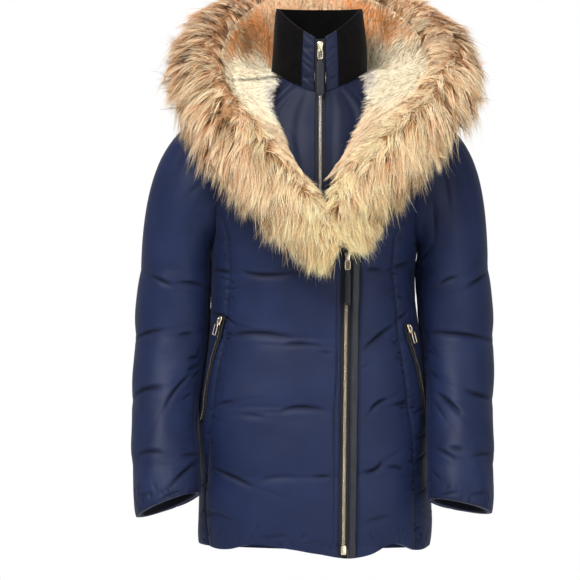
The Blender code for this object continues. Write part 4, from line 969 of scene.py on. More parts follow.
def panel(name, rows, first, last, columns):
    """One panel of the coat between two edge angles for each row: its plain surface, with the relief added
    along the normal and both side edges drawn in by their seams."""
    low, high = first[:, None], last[:, None]
    part = np.linspace(0, 1, columns + 1)[None, :]
    angle = low + (high - low) * part
    z = hem_lift(angle, rows[:, None])
    cloth = bpy.context.scene.parka_cloth
    gap = np.minimum(part, 1 - part) * (high - low) * GIRTH
    rise, fold = relief(angle, z)
    puff = cloth.puff * np.clip(gap / 0.03, 0, 1) * armhole_fade(z, angle) * (1 - under_fur(angle, z))
    rise = rise + edge_dip(gap, cloth.dip) + edge_dip(rows[:, None] - HEM, 0.001) + puff
    touching = contact(angle, z)
    out = baffle(z) * (1 - touching) + held(rise, touching) + press(np.sign(wrap(angle)), z) * touching
    # Painted shade along both seams, added to the painted shade of the folds
    fold = np.maximum(fold, SEAM_SHADE * np.exp(-((gap / SHADE_WIDTH) ** 2)))
    inner = coat(z[COARSE], angle[COARSE], -WALL)
    mesh = wall_mesh(name + "_cloth", coat(z, angle, out), inner, np.stack([angle * GIRTH, z], -1), fold=fold)
    made = add_piece(mesh, "navy_nylon", replaces=[name])
    return made


def sleeve_ring(table, sign, z, turn, out=0.0):
    """Points of a level sleeve ring: turn 0 is outermost, a quarter turn faces forwards."""
    centre_x, centre_y, half, depth = np.moveaxis(smooth(-z, -table[:, 0], table[:, 1:]), -1, 0)
    x, y = sign * (centre_x + (half + out) * np.cos(turn)), centre_y - (depth + out) * np.sin(turn)
    return np.stack([x, y, z], -1)


def grid_normals(points, sign):
    """Outward normals of a tube's grid, from the neighbouring rows and columns."""
    around = np.roll(points, -1, 1) - np.roll(points, 1, 1)
    return unit(np.cross(around, np.gradient(points, axis=0))) * sign


def armhole_ring(sign, steps):
    """The armhole's edge from the shoulder point forwards, down to the armpit and up the back."""
    z = armhole_heights(steps)
    down, up = z[::-1], z[1:-1]
    angle = np.concatenate([armhole_angle(down), armhole_angle(up, back=True)])
    return np.concatenate([down, up]), sign * angle


CAP_FINE, ARM_ROWS = 24, 144
ARM_SEAMS = (radians(150), radians(255))  # turns of the sleeve's front and back seam


def plain_sleeve(side):
    """The sleeve's plain grid: a cap that leaves the armhole face to face and curves down over the shoulder,
    then level rings to the slanted cuff. Returns points, turns, cloth heights, normals and the root's inner
    ring."""
    sign, table = SIDES[side], SLEEVES[side]
    height, angle = armhole_ring(sign, ARM_FINE)
    turn = ring_turns(len(height))
    middle = coat(ARM_MIDDLE, sign * pi / 2)
    root, root_inner = coat(height, angle, baffle(height)), coat(height, angle, -WALL)
    inwards = unit(middle - root) * SEAM / 4
    root, root_inner = root + inwards, root_inner + inwards
    top = table[0, 0]
    first = sleeve_ring(table, sign, top + 0 * turn, turn)
    reach = np.linalg.norm(first - root, axis=-1, keepdims=True)
    leave = unit(np.array([sign * 0.96, 0.0, -0.22]) + 0.45 * (first - root) / reach)
    t = np.linspace(0, 1, CAP_FINE + 1)[:-1, None, None]
    cap = hermite(t, root, leave * reach * CAP_FULLNESS, first, np.array([sign * 0.04, 0.0, -1.0]) * reach)
    cuff_z, tilt_out, tilt_front = CUFF[side]
    part = np.linspace(0, 1, ARM_ROWS + 1)[:, None]
    end = cuff_z + tilt_out * np.cos(turn) + tilt_front * np.sin(turn)
    z = top + (end[None, :] - top) * part
    turns = turn[None, :] + 0 * z
    points = np.concatenate([cap, sleeve_ring(table, sign, z, turns)])
    cap_z = top + (1 - t[..., 0]) * 0.1 + 0 * turn[None, :]
    turns, heights = np.vstack([turn + 0 * cap_z, turns]), np.vstack([cap_z, z])
    return points, turns, heights, grid_normals(points, sign), root_inner


def sleeve_relief(side, turns, along):
    """Rise of the sleeve's cloth and the painted shade in its folds: drafted creases in front and behind,
    gathers by the seams and cuff, swells."""
    cloth = bpy.context.scene.parka_cloth
    rng = np.random.default_rng(31 if side == "right" else 37)
    drafted = np.concatenate([sleeve_rows(side, SLEEVE_CREASES[side]), turned_rows(SLEEVE_BACK_CREASES)])
    drafted[-len(SLEEVE_BACK_CREASES):, [1, 3]] += 0.004 * SIDES[side]
    drafted[:, 5] *= cloth.crease
    low, around, part = np.linspace(-0.67, -0.22, 40), np.linspace(0, 2 * pi, 60), np.linspace(-1, 1, 30)
    lines = [(seam, low, 40, 0.016, 0.0016, 0.0028) for seam in ARM_SEAMS] + [
        (around, -0.664, 56, 0.02, 0.0022, 0.0028),
        (around, -0.215, 44, 0.03, 0.0022, 0.0034),
        (ARM_SEAMS[0] + 0.5 * part, -0.46 - 0.05 * part, 14, 0.03, 0.0026, 0.004, 0.012),
    ]
    gathered = np.concatenate([gathers(rng, ARM_GIRTH, *line) for line in lines])
    gathered[:, 5] *= cloth.crumple
    rise, depth = troughs(turns, along, np.vstack([drafted, gathered]), ARM_GIRTH)
    fold = np.abs(np.sin(pi * (SLEEVES[side][0, 0] - along) / SLEEVE_PITCH))
    swells = waves(turns, along, 8, 0.07, cloth.puff * 0.6)
    rise = rise + swells - 0.5 * QUILT_DEPTH * (1 - fold) ** 2 + cloth.puff
    return np.clip(rise, -0.0056, 0.005), depth


def sleeve(side):
    """A sleeve's top, from its back seam over the shoulder to its front seam, its under piece and facing."""
    cloth = bpy.context.scene.parka_cloth
    sign = SIDES[side]
    points, turns, along, normals, root_inner = plain_sleeve(side)
    from_root = np.clip(np.arange(len(points)) / 9, 0, 1)[:, None]
    gap = np.minimum(*(np.abs(wrap(turns - seam)) for seam in ARM_SEAMS)) * ARM_GIRTH
    to_cuff = np.arange(len(points))[::-1, None] * 0.003
    rise, fold = sleeve_relief(side, turns, along)
    height = points[..., 2]
    beside = np.exp(-((wrap(turns - pi) / radians(40)) ** 4)) * np.clip((-0.235 - height) / 0.025, 0, 1)
    out = held((rise + edge_dip(gap, cloth.dip * 0.7)) * from_root, beside)
    out = out + press(sign, height) * beside * np.clip((height + 0.62) / 0.04, 0, 1) * from_root
    out = out + edge_dip(np.arange(len(points))[:, None] * 0.004, cloth.dip) + edge_dip(to_cuff, 0.0012)
    # Painted shade in the folds, along the seams and at the cuff
    fold = np.maximum(fold * from_root, 0.5 * np.exp(-((np.minimum(gap, to_cuff) / SHADE_WIDTH) ** 2)))
    outer = points + normals * out[..., None]
    step = 6
    inner = (points - normals * WALL)[::step]
    inner[0] = root_inner
    uv = np.stack([turns * ARM_GIRTH, along], -1)
    count = points.shape[1]
    front_seam_at, back_seam_at = (round(count * seam / (2 * pi)) for seam in ARM_SEAMS)
    spans = {"top": (back_seam_at - count, front_seam_at), "under": (front_seam_at, back_seam_at)}
    for part, (first, last) in spans.items():
        fine = np.arange(first, last + 1) % count
        mesh = wall_mesh(f"sleeve_{side}_{part}_cloth", outer[:, fine], inner[:, fine[::step]], uv[:, fine],
                         fold=fold[:, fine])
        add_piece(mesh, "navy_nylon", replaces=[f"sleeve_{side}_{part}"])
    end, above = inner[-1], inner[-6]
    part = np.linspace(0.04, 1, 9)[:, None, None]
    lining = end + unit(above - end) * FACING_DEPTH * part
    inwards = unit(lining.mean(axis=1, keepdims=True) - lining)
    ripple = 0.0004 * np.cos(9 * turns[0] + 3 * part[..., 0])[..., None]
    face = lining + inwards * (0.0012 + ripple)
    around = turns[:len(part)]
    uv = np.stack([around * ARM_GIRTH, part[..., 0] * FACING_DEPTH + 0 * around], -1)
    mesh = wall_mesh(f"cuff_facing_{side}_cloth", face, (lining + inwards * THIN)[::2, ::2], uv, tube=True)
    made = add_piece(mesh, "cuff_lining", replaces=[f"cuff_facing_{side}"])


class PARKA_OT_body(bpy.types.Operator):
    """Builds the down-filled fronts, sides and back."""
    bl_idname = "parka.body"
    bl_label = "Body panels"

    def execute(self, context):
        rows = panel_rows(0.0)
        below = panel_rows(PRINCESS[-1, 0])
        for side, sign in SIDES.items():
            near = sign * angle_at(rows, edge(FRONT_EDGES, rows, 1 if side == "right" else 3))
            columns = 96 if side == "right" else 52
            panel(f"front_{side}", rows, *ordered(sign, near, front_seam(rows, side)), columns)
            outer = np.where(below <= ARM_BOTTOM + 1e-6, pi / 2, armhole_angle(below))
            panel(f"front_side_{side}", below, *ordered(sign, front_seam(below, side), outer), 28)
            outer = np.where(below <= ARM_BOTTOM + 1e-6, pi / 2, armhole_angle(below, back=True))
            panel(f"back_side_{side}", below, *ordered(sign, outer, back_seam(below)), 28)
        far = back_seam(rows)
        panel("back_centre", rows, far, 2 * pi - far, 56)
        return {"FINISHED"}


class PARKA_OT_sleeves(bpy.types.Operator):
    """Builds both sleeves with their cuff facings."""
    bl_idname = "parka.sleeves"
    bl_label = "Sleeves"

    def execute(self, context):
        for side in SIDES:
            sleeve(side)
        return {"FINISHED"}


# ---- Bib and collar ----

BIB_WIDE, BIB_HIGH = 0.115, 0.29  # cloth that the shares of the bib's crease table refer to


def seam_height(x):
    """Height of the seam between bib and collar for a given x: lowest at centre front."""
    return -0.018 + 0.034 * np.clip(np.abs(x - COLLAR_X) / COLLAR_LOW[0], 0, 1) ** 1.5


def collar_points(part, angle, out=0.0):
    """The stand collar: an ellipse at its seam, up to a slightly narrower one at its top edge."""
    ahead = np.cos(angle) > 0
    rings = []
    for half, front, back in (COLLAR_LOW, COLLAR_HIGH):
        depth = np.where(ahead, front, back)
        rings.append(np.stack([COLLAR_X + half * np.sin(angle), -depth * np.cos(angle)], -1))
    side = np.where(ahead, np.abs(np.sin(angle)) ** 1.5, 1)
    low = np.where(ahead, seam_height(rings[0][..., 0]), seam_height(1.0)) + SEAM
    high = COLLAR_FRONT + (COLLAR_SIDE - COLLAR_FRONT) * side
    part = np.asarray(part)[..., None]
    plain = rings[0] * (1 - part) + rings[1] * part
    plain = plain + unit(plain - np.array([COLLAR_X, 0.0])) * np.asarray(out)[..., None]
    return np.concatenate([plain, low[..., None] * (1 - part) + high[..., None] * part], -1)


def bib_points(part, angle, out=0.0):
    """The bib: rows from its hidden lower edge up to the collar's seam, closing in to the collar's foot."""
    top = seam_height(COLLAR_X)
    for _ in range(6):
        top = seam_height(coat(top, angle, BIB_OFFSET)[..., 0]) - SEAM
    points = coat(BIB_BOTTOM + (top - BIB_BOTTOM) * part, angle, BIB_OFFSET + out)
    wide = (coat(top, angle, BIB_OFFSET)[..., 0] - COLLAR_X) / COLLAR_LOW[0]
    across = wide / (1 + np.abs(wide) ** 3) ** (1 / 3)
    foot = [COLLAR_X + (COLLAR_LOW[0] + out) * across, -(COLLAR_LOW[1] + out) * np.sqrt(1 - across**2),
            seam_height(COLLAR_X + COLLAR_LOW[0] * across) - SEAM + 0 * part]
    close = np.clip((part - BIB_CLOSES) / (1 - BIB_CLOSES), 0, 1)[..., None] ** 2
    return points + (np.stack(foot, -1) - points) * close


def bib_edge(part, x):
    """The angle at which the bib or its zip has a given x, for each row."""
    z = BIB_BOTTOM + (seam_height(x) - BIB_BOTTOM) * part
    return angle_at(z, COLLAR_X + (x - COLLAR_X) * (1 + BIB_OFFSET * -4.0))


# Drape creases of the bib, out from the zip: share across and share up of both ends, bow in millimetres of
# cloth; then depth and half width in millimetres
BIB_CREASES = {
    "right": [(0.1, 0.98, 0.05, 0.55, 4, 1.6, 3.5), (0.28, 0.99, 0.16, 0.6, 6, 2.0, 4.0),
              (0.46, 0.99, 0.34, 0.62, 6, 1.9, 4.0), (0.62, 1.00, 0.55, 0.72, 5, 1.7, 4.0),
              (0.18, 0.82, 0.08, 0.48, -4, 1.4, 3.5)],
    "left": [(0.08, 0.98, 0.06, 0.52, -3, 1.6, 3.5), (0.24, 0.99, 0.15, 0.64, 5, 1.9, 4.0),
             (0.4, 0.99, 0.3, 0.6, 6, 1.8, 4.0), (0.58, 1.00, 0.5, 0.74, 4, 1.7, 4.0)],
}


def line_troughs(x, y, table):
    """Sum of troughs on a flat cloth measured in metres, as for the coat but between plain points."""
    total = np.zeros(np.broadcast(x, y).shape)
    for x0, y0, x1, y1, bow, depth, wide in table:
        du, dv = x1 - x0, y1 - y0
        span = np.hypot(du, dv)
        u, v = x - x0, y - y0
        t = np.clip((u * du + v * dv) / span**2, 0, 1)
        s = ((v * du - u * dv) / span - bow * 4 * t * (1 - t)) / wide
        beyond = np.hypot(u - t * du, v - t * dv)
        taper = np.sin(pi * np.clip(0.02 + 0.96 * t, 0, 1)) ** 0.7
        taper = taper * np.exp(-((beyond / (5 * wide + 0.01)) ** 4))
        total += depth * taper * (0.45 * np.exp(-(((s - 1.8) / 1.2) ** 2)) - np.exp(-np.abs(s) ** 1.6))
    return total


def make_bib(side):
    """One half of the bib, with drape creases that fan down from the collar's seam."""
    sign = SIDES[side]
    rows = 1 - (1 - np.linspace(0, 1, 97)) ** 1.3
    near = sign * bib_edge(rows, BIB_ZIP_X + sign * (BIB_ZIP_HALF + SEAM))
    far = radians(34) + radians(44) * rows**3
    part = np.linspace(0, 1, 49)[None, :]
    angle = sign * (near[:, None] * (1 - part) + far[:, None] * part)
    up = rows[:, None] + 0 * angle
    x, y = (angle - angle[:, :1]) * sign * 0.12, (up - 1) * BIB_HIGH
    table = [(a * BIB_WIDE, (b - 1) * BIB_HIGH, c * BIB_WIDE, (d - 1) * BIB_HIGH,
              *(size * 1e-3 for size in sizes))
             for a, b, c, d, *sizes in BIB_CREASES[side]]
    rise = line_troughs(x, y, table) + waves(angle * 3, y, 12, 0.05, 0.0004)
    rise = np.clip(rise, -0.0022, 0.0018) + edge_dip((1 - up) * BIB_HIGH, 0.001, 0.003)
    outer = bib_points(up, angle, rise)
    inner = bib_points(up[COARSE], angle[COARSE], -THIN + np.minimum(rise[COARSE], 0))
    mesh = wall_mesh(f"bib_{side}_cloth", outer, inner, np.stack([x, y], -1))
    made = add_piece(mesh, "bib_nylon", replaces=[f"bib_{side}"])


# Wrinkles of the collar's plackets: height in metres, slant
PLACKET_WRINKLES = ((0.01, 1), (0.022, -0.6), (0.034, 1), (0.047, 0.7), (0.06, 1), (0.072, -0.5),
                    (0.083, 0.8))


def make_collar(side):
    """The collar's two pieces on one side: a nylon placket with slanting wrinkles by the zip, then black
    velvet with a soft roll along its top edge."""
    sign = SIDES[side]
    near = BIB_ZIP_HALF + SEAM
    start, split = np.arcsin(near / COLLAR_HIGH[0]), np.arcsin((near + PLACKET_WIDTH) / COLLAR_LOW[0])
    shift = np.arcsin((BIB_ZIP_X - COLLAR_X) / COLLAR_LOW[0])
    gap = SEAM / COLLAR_HIGH[0]
    spans = {
        "collar_placket": (sorted([shift + sign * start, shift + sign * split]), 16, "bib_nylon",
                           "navy_nylon"),
        "collar": (sorted([shift + sign * (split + gap), sign * pi]), 72, "black_velvet", "black_velvet"),
    }
    for name, ((first, last), columns, finish, slot) in spans.items():
        up, angle = np.meshgrid(np.linspace(0, 1, 33), np.linspace(first, last, columns + 1), indexing="ij")
        x, y = angle * 0.075, up * 0.095
        belly = 0.0015 * np.sin(pi * up)
        if name == "collar":
            rise = waves(angle, y, 14, 0.08, 0.0005) + edge_dip((1 - up) * 0.095, 0.0009, 0.003)
        else:
            table = [(sign * 0.01, h, sign * 0.028, h + 0.01 * s, 0.0006 * s, 0.0011, 0.0026)
                     for h, s in PLACKET_WRINKLES]
            to_seam = np.minimum(angle - first, last - angle) * 0.075
            rise = line_troughs(x, y, table) + edge_dip(to_seam, 0.0006, 0.002)
        outer = collar_points(up, angle, belly + np.clip(rise, -0.0016, 0.0012))
        inner = collar_points(up[COARSE], angle[COARSE], belly[COARSE] - THIN)
        mesh = wall_mesh(f"{name}_{side}_cloth", outer, inner, np.stack([x, y], -1))
        made = add_piece(mesh, finish, replaces=[f"{name}_{side}"])


class PARKA_OT_bib(bpy.types.Operator):
    """Builds the bib, the collar's plackets and its velvet sides."""
    bl_idname = "parka.bib"
    bl_label = "Bib and collar"

    def execute(self, context):
        for side in SIDES:
            make_bib(side)
            make_collar(side)
        return {"FINISHED"}


# ---- Hood and fur ----

def fur_frame(table, place):
    """Centre, breadth, thickness and the two directions of the fur's section at places 0 to 1 along it."""
    knots = np.linspace(0, 1, len(table))
    row = smooth(place, knots, table)
    ahead = smooth(np.clip(place + 0.004, 0, 1), knots, table)[..., :3]
    behind = smooth(np.clip(place - 0.004, 0, 1), knots, table)[..., :3]
    along = unit(ahead - behind)
    centre = row[..., :3]
    heart = np.stack([0.6 * centre[..., 0], 0.02 + 0 * place, np.minimum(centre[..., 2], -0.1)], -1)
    face = centre - heart
    face = unit(face - along * dot(face, along))
    return centre, row[..., 3], row[..., 4], np.cross(along, face), face


LINING_TURN = -22  # angle on the trim's section, in degrees, at which the lining is sewn to it


def hood_points(side, columns, rows, lining):
    """Either skin of the hood from its neck seam to under the fur: a sagging lining, or a shell that hangs
    down the coat's back and turns up round a soft pouch."""
    t = np.linspace(0 if lining else SHELL_START, 1, columns)
    place, degrees, seam_z, sag, drop, swell = smooth(t, np.linspace(0, 1, len(HOOD)), HOOD).T
    turn = SIDES[side] * np.radians(degrees)
    centre, breadth, thick, across, face = fur_frame(FUR[side], place)
    inward = across * np.sign(dot(across, centre * np.array([-1, -1, 0])))
    on_chest = np.clip((90 - degrees) / 30, 0, 1)
    s = np.linspace(0, 1, rows)[:, None, None]
    if lining:
        seam = coat(seam_z, turn, 0.003 * on_chest - 0.0045 * (1 - on_chest))
        rim_line = centre + inward * (breadth * 0.8)[:, None] - face * (thick * 0.8)[:, None]
        bow = np.sin(pi * s) * s**0.5
        skin = seam * (1 - s) + rim_line * s - np.array([0, 0, 1.0]) * bow * sag[None, :, None]
        under = fur_section(side, place, radians(LINING_TURN) + 0 * place)[0]
        return np.concatenate([skin, rim_line + (under - rim_line) * np.linspace(0.25, 1, 4)[:, None, None]])
    rim_line = centre - inward * (breadth * 0.45)[:, None] - face * (thick * 0.9 + HOOD_WALL + SEAM)[:, None]
    down = np.clip(s[..., 0] / POUCH_SHARE, 0, 1) * pi / 2
    up = np.clip((s - POUCH_SHARE) / (1 - POUCH_SHARE), 0, 1) * pi / 2
    out = POUCH_GAP + POUCH_ROUND * (1 - np.cos(down))
    inner = coat(seam_z - HOOD_SEAMS - drop * np.sin(down), turn, out)
    rise = np.concatenate([np.sin(up), np.sin(up), 1 - np.cos(up)], -1)
    away = unit(centre * np.array([1, 1, 0]))
    pouch = inner + (rim_line - inner[-1]) * rise + away * swell[:, None] * np.sin(2 * up)
    straight = inner[0] * (1 - s) + rim_line * s
    return straight + (pouch - straight) * (drop / drop.max())[None, :, None]


def hood_grid(columns, rows, lining):
    """A hood skin whole across the back, with the normals of its outer face."""
    right, left = (hood_points(side, columns, rows, lining) for side in ("right", "left"))
    middle = (right[:, -1:] + left[:, -1:]) / 2
    grid = np.concatenate([right[:, :-1], middle, left[:, -2::-1]], axis=1)
    normal = unit(np.cross(np.gradient(grid, axis=1), np.gradient(grid, axis=0)))
    return grid, normal * (1.0 if lining else -1.0)


class PARKA_OT_hood(bpy.types.Operator):
    """Builds the hood's down-filled shell and the hide under its short fur."""
    bl_idname = "parka.hood"
    bl_label = "Hood"

    def execute(self, context):
        for name, columns, rows, lining, finish, slot in (
                ("hood_lining", 69, 33, True, "lining_hide", "short_fur"),
                ("hood_shell", 53, 49, False, "navy_nylon", "navy_nylon")):
            grid, normal = hood_grid(columns, rows, lining)
            u = np.linspace(-1, 1, grid.shape[1])[None, :] * 0.3
            v = np.linspace(0, 1, len(grid))[:, None] * 0.22 + 0 * u
            u = u + 0 * v
            if lining:
                outer, inner = grid + normal * HOOD_WALL, grid
            else:
                swell = waves(u * 12, v, 17, 0.09, 0.0012) * np.sin(pi * v / 0.22) * np.cos(pi * u / 0.62)
                seams = edge_dip(np.abs(np.abs(u) - 0.075), 0.003, 0.006) * np.sin(pi * v / 0.22)
                outer, inner = grid + normal * (HOOD_WALL + swell + seams)[..., None], grid
            mesh = wall_mesh(name + "_cloth", outer, inner[COARSE], np.stack([u, v], -1))
            made = add_piece(mesh, finish, replaces=[name])
        return {"FINISHED"}


# Flow of the long hair at places along each strand: place, share that runs towards the strand's lower end,
# angle of the parting on the section in degrees, depth of shade, hue from cool to golden, length against the
# full one
FUR_FLOW = {
    "right": np.array([
        (0, 1.8, 20, 0.04, 1, 0.52), (0.08, 1.5, 20, 0.02, 0.95, 0.6), (0.16, 1.2, 18, 0.02, 0.8, 0.78),
        (0.28, 0.9, 16, 0.06, 0.6, 0.94), (0.42, 0.7, 14, 0.1, 0.48, 1), (0.56, 0.45, 10, 0.13, 0.4, 1),
        (0.7, 0.15, 12, 0.26, 0.18, 1), (1, 0, 40, 0.22, 0.15, 0.95),
    ]),
    "left": np.array([
        (0, 1.8, 20, 0.06, 1, 0.44), (0.08, 1.5, 22, 0.04, 0.95, 0.5), (0.16, 1.1, 34, 0.02, 0.85, 0.72),
        (0.28, 0.85, 44, 0.04, 0.72, 0.92), (0.4, 0.65, 54, 0.08, 0.6, 1), (0.52, 0.5, 58, 0.1, 0.5, 1),
        (0.64, 0.3, 84, 0.12, 0.4, 1), (0.74, 0.1, 44, 0.14, 0.25, 1), (1, 0, 60, 0.14, 0.2, 0.95),
    ]),
}
# Length of the hair round the section: angle in degrees, share. A nap by the neck grows to full length.
FUR_NAP = np.array([(-180, 1), (-120, 0.9), (-50, 0.5), (0, 0.42), (30, 0.44), (55, 0.62), (85, 0.92),
                    (110, 1),
                    (180, 1)])
# Half thickness of the undercoat's face and back against the fur's half thickness
CORE, CORE_BACK = 0.55, 0.84
# Middle and half breadth of the undercoat against the fur's half breadth
CORE_SHIFT, CORE_BREADTH = 0.2, 0.68
FUR_START = 0.045  # place along a strand where its undercoat begins
OUTREACH = 0.017  # how far hair may stand out of the solids' own box


def fur_section(side, place, turn):
    """Points of the undercoat's section, its outward normals and its tangents. Turn 0 is the edge by the
    neck, a quarter turn is the face that shows and half a turn is the outer edge."""
    centre, breadth, thick, across, face = fur_frame(FUR[side], place)
    inward = across * (1.0 if side == "right" else -1.0)
    c, s = np.cos(turn)[..., None], np.sin(turn)[..., None]
    size = np.clip((place - FUR_START) / 0.05, 0.3, 1)[..., None]
    b, h = breadth[..., None] * size, thick[..., None] * size * np.where(s > 0, CORE, CORE_BACK)
    point = centre + inward * b * (CORE_SHIFT + CORE_BREADTH * c) + face * h * s
    b = b * CORE_BREADTH
    return point, unit(inward * c / b + face * s / h), unit(face * h * c - inward * b * s)


def fur_core(side):
    """The trim's undercoat: the same section carried along the fur's line, closed at both ends."""
    ends = 0.5 - 0.5 * np.cos(np.linspace(0, pi, 61))
    place = 0.3 * ends + 0.7 * np.linspace(0, 1, 61)
    place = (FUR_START + (1 - FUR_START) * place)[:, None] + np.zeros((1, 24))
    points = fur_section(side, place, ring_turns(24) + 0 * place)[0]
    points[-1, :, 0] = FUR_MEETING + SIDES[side] * SEAM
    return shade(make_mesh(f"fur_{side}_undercoat", *closed_grid(keep_apart(side, points))))


def keep_apart(side, points):
    """Holds each strand on its own side of the line where the two lie against each other."""
    x, z = points[..., 0], points[..., 2]
    line = np.interp(z, PARTING[:, 0], PARTING[:, 1])
    beyond = np.maximum(x, line + SEAM) if side == "left" else np.minimum(x, line - SEAM)
    points[..., 0] = np.where(z < PARTING[-1, 0], beyond, x)
    return points


HAIR_STEPS = np.array([0.0, 0.34, 0.7, 1.0])


def hair_curves(root, normal, flow, size, lift, droop):
    """Each hair leaves its root part outwards and part along the flow, then lies over along the flow and
    droops. Returns points by hair and step."""
    t = HAIR_STEPS[None, :, None]
    outward = normal[:, None] * (lift[:, None, None] * (t - 0.55 * t**2))
    onward = flow[:, None] * (0.55 * t + 0.45 * t**2)
    down = np.array([0, 0, -1.0]) * droop[:, None, None] * t**2
    return root[:, None] + size[:, None, None] * (outward + onward + down)


def ribbons(name, curves, facing, width, tone, zone):
    """Hairs as flat tapered strips along their curves, each strip turned to face outwards: two quads and a
    tip."""
    count, steps = curves.shape[:2]
    ahead = unit(np.gradient(curves, axis=1))
    across = unit(np.cross(ahead, facing[:, None]))
    taper = np.array([0.8, 1.0, 0.62])[None, :, None] * width[:, None, None] / 2
    left, right = curves[:, :-1] - across[:, :-1] * taper, curves[:, :-1] + across[:, :-1] * taper
    points = np.concatenate([left, right, curves[:, -1:]], axis=1)
    base = (np.arange(count) * (2 * steps - 1))[:, None]
    n = steps - 1
    quads = np.concatenate([base + np.array([i, i + n, i + n + 1, i + 1]) for i in range(n - 1)])
    tips = base + np.array([n - 1, 2 * n - 1, 2 * n])
    u = np.concatenate([HAIR_STEPS[:-1], HAIR_STEPS[:-1], [1.0]])
    uv = np.stack([u[None] + 0 * tone[:, None], tone[:, None] + 0 * u[None]], -1)
    zones = np.repeat(zone[:, None], points.shape[1], axis=1)
    mesh = make_mesh(name, points.reshape(-1, 3), [quads, tips], uv.reshape(-1, 2), zones.reshape(-1, 2))
    mesh.shade_smooth()
    return mesh


def fur_hairs(side, part, seed):
    """Long hair on half of a strand. Seeded locks share the flow; the hairs of a lock start apart and draw
    together towards its tip. Some stray hairs stand off, and some guard hairs are dark."""
    fur = bpy.context.scene.parka_fur
    rng = np.random.default_rng(seed)
    low, high = (FUR_START + 0.012, 0.42) if part == "front" else (0.42, 1.0)
    locks = fur.locks // 2
    place = rng.uniform(low, high, locks)
    turn = rng.uniform(-pi, pi, locks)
    turn = turn + 0.2 * np.sin(2 * turn)
    hidden = (np.sin(turn) < -0.25) & (rng.random(locks) < 0.45)
    turn = np.where(hidden, -turn, turn)
    run, parting, shade_depth, warmth, reach = np.moveaxis(
        smooth(place, FUR_FLOW[side][:, 0], FUR_FLOW[side][:, 1:]), -1, 0)
    point, normal, tangent = fur_section(side, place, turn)
    ahead = fur_section(side, np.clip(place + 0.01, 0, 1), turn)[0]
    behind = fur_section(side, np.clip(place - 0.01, 0, 1), turn)[0]
    downstream = unit(behind - ahead)
    split = np.radians(parting) + 0.22 * np.sin(place * 40 + seed)
    apart = wrap(turn - split)
    outwards = np.where(np.sin(turn) < 0, -1.0, np.tanh(apart / 0.3))
    flow = unit(tangent * outwards[:, None] + downstream * run[:, None])
    swirl = np.sin(place * 57 + 2.1 * np.sin(turn * 2)) * 0.3 + rng.normal(0, 0.28, locks)
    flow = flow + np.cross(normal, flow) * swirl[:, None]
    flow = unit(flow - normal * dot(flow, normal))
    by_parting = np.exp(-((apart / 0.3) ** 2)) * (place > 0.3) * (side == "left")
    nap = np.interp(np.degrees(wrap(turn)), FUR_NAP[:, 0], FUR_NAP[:, 1])
    size = fur.long_hair * rng.uniform(0.8, 1.1, locks) * reach * nap * (1 - 0.35 * by_parting)
    lift = 0.5 + 0.14 * rng.normal(0, 1, locks)
    droop = 0.1 + 0.2 * np.clip(1 - np.abs(normal[:, 2]), 0, 1)
    guide = hair_curves(point, normal, flow, size, lift, droop)
    count = fur.hairs
    lock = np.concatenate([np.arange(locks), rng.integers(0, locks, count - locks)])
    jitter = rng.normal(0, 0.0052, (count, 3))
    jitter -= normal[lock] * dot(jitter, normal[lock])
    stray = rng.random(count) < 0.09
    t = HAIR_STEPS[None, :, None]
    pull = 1 - np.where(stray, 0.0, rng.uniform(0.45, 0.88, locks)[lock])[:, None, None] * t**1.2
    own = np.where(stray, rng.uniform(1.0, 1.22, count), 1.1 - 0.55 * rng.random(count) ** 2)
    curves = (guide[lock] - guide[lock][:, :1]) * own[:, None, None]
    curves = curves + point[lock][:, None] + jitter[:, None] * pull
    spread = np.where(stray, 0.006, 0.0018)[:, None, None] * np.clip(nap[lock], 0.4, 1)[:, None, None]
    curves = curves + rng.normal(0, 1, (count, 1, 3)) * spread * t**1.5
    curves = curves + normal[lock][:, None] * (np.where(stray, 0.1, 0) * size[lock])[:, None, None] * t
    patch = waves(turn, place * 0.5, seed + 5, 0.07, 1.0)[lock]
    # Painted shade on the strand's hidden side and underside, and between locks at a random depth for each
    # lock; the dark guard hairs are the hair's own colour
    under = (np.sin(turn[lock]) < -0.1) * 0.55 + np.clip(-normal[lock][:, 2], 0, 1) * 0.25
    dark = (rng.random(count) < 0.09 * nap[lock] ** 2) * 0.6
    lock_shade = 0.2 * rng.normal(0, 1, locks)[lock]
    depth = shade_depth[lock] + under + dark + lock_shade + 0.09 * patch + rng.normal(0, 0.06, count)
    hue = warmth[lock] + 0.1 * patch + 0.1 * rng.normal(0, 1, count)
    zone = np.clip(np.stack([depth, hue], -1), 0, 1)
    tone = 0.53 + 0.14 * (warmth[lock] - 0.4) + 0.26 * rng.normal(0, 1, locks)[lock]
    tone = tone + rng.normal(0, 0.18, count) + 0.2 * by_parting[lock] + 0.55 * np.clip(1 - nap[lock], 0, 1)
    width = fur.width * rng.uniform(0.5, 1.2, count)
    curves = keep_in_box(keep_in_reach(side, curves))
    facing = normal[lock] + rng.normal(0, 0.6, (count, 3))
    return ribbons(f"fur_{side}_{part}_hair", curves, facing, width, np.clip(tone, 0, 1), zone)


def keep_in_box(points):
    """Eases back whatever stands out of the solids' own box, to no more than the outreach."""
    over, under = np.maximum(points - np.array(CAD_BOX[1]), 0), np.maximum(np.array(CAD_BOX[0]) - points, 0)
    return points - over + under + OUTREACH * (np.tanh(over / OUTREACH) - np.tanh(under / OUTREACH))


def keep_in_reach(side, curves):
    """Eases a strand's hairs away from the other strand, so that a parting shows between them."""
    line = np.interp(curves[..., 2], PARTING[:, 0], PARTING[:, 1]) + (0.012 if side == "right" else -0.004)
    low = curves[..., 2] < PARTING[-1, 0]
    over = np.maximum(curves[..., 0] - line, 0) if side == "right" else np.maximum(line - curves[..., 0], 0)
    move = over * 0.8 * (-1.0 if side == "right" else 1.0)
    curves[..., 0] += np.where(low, move, 0)
    return curves


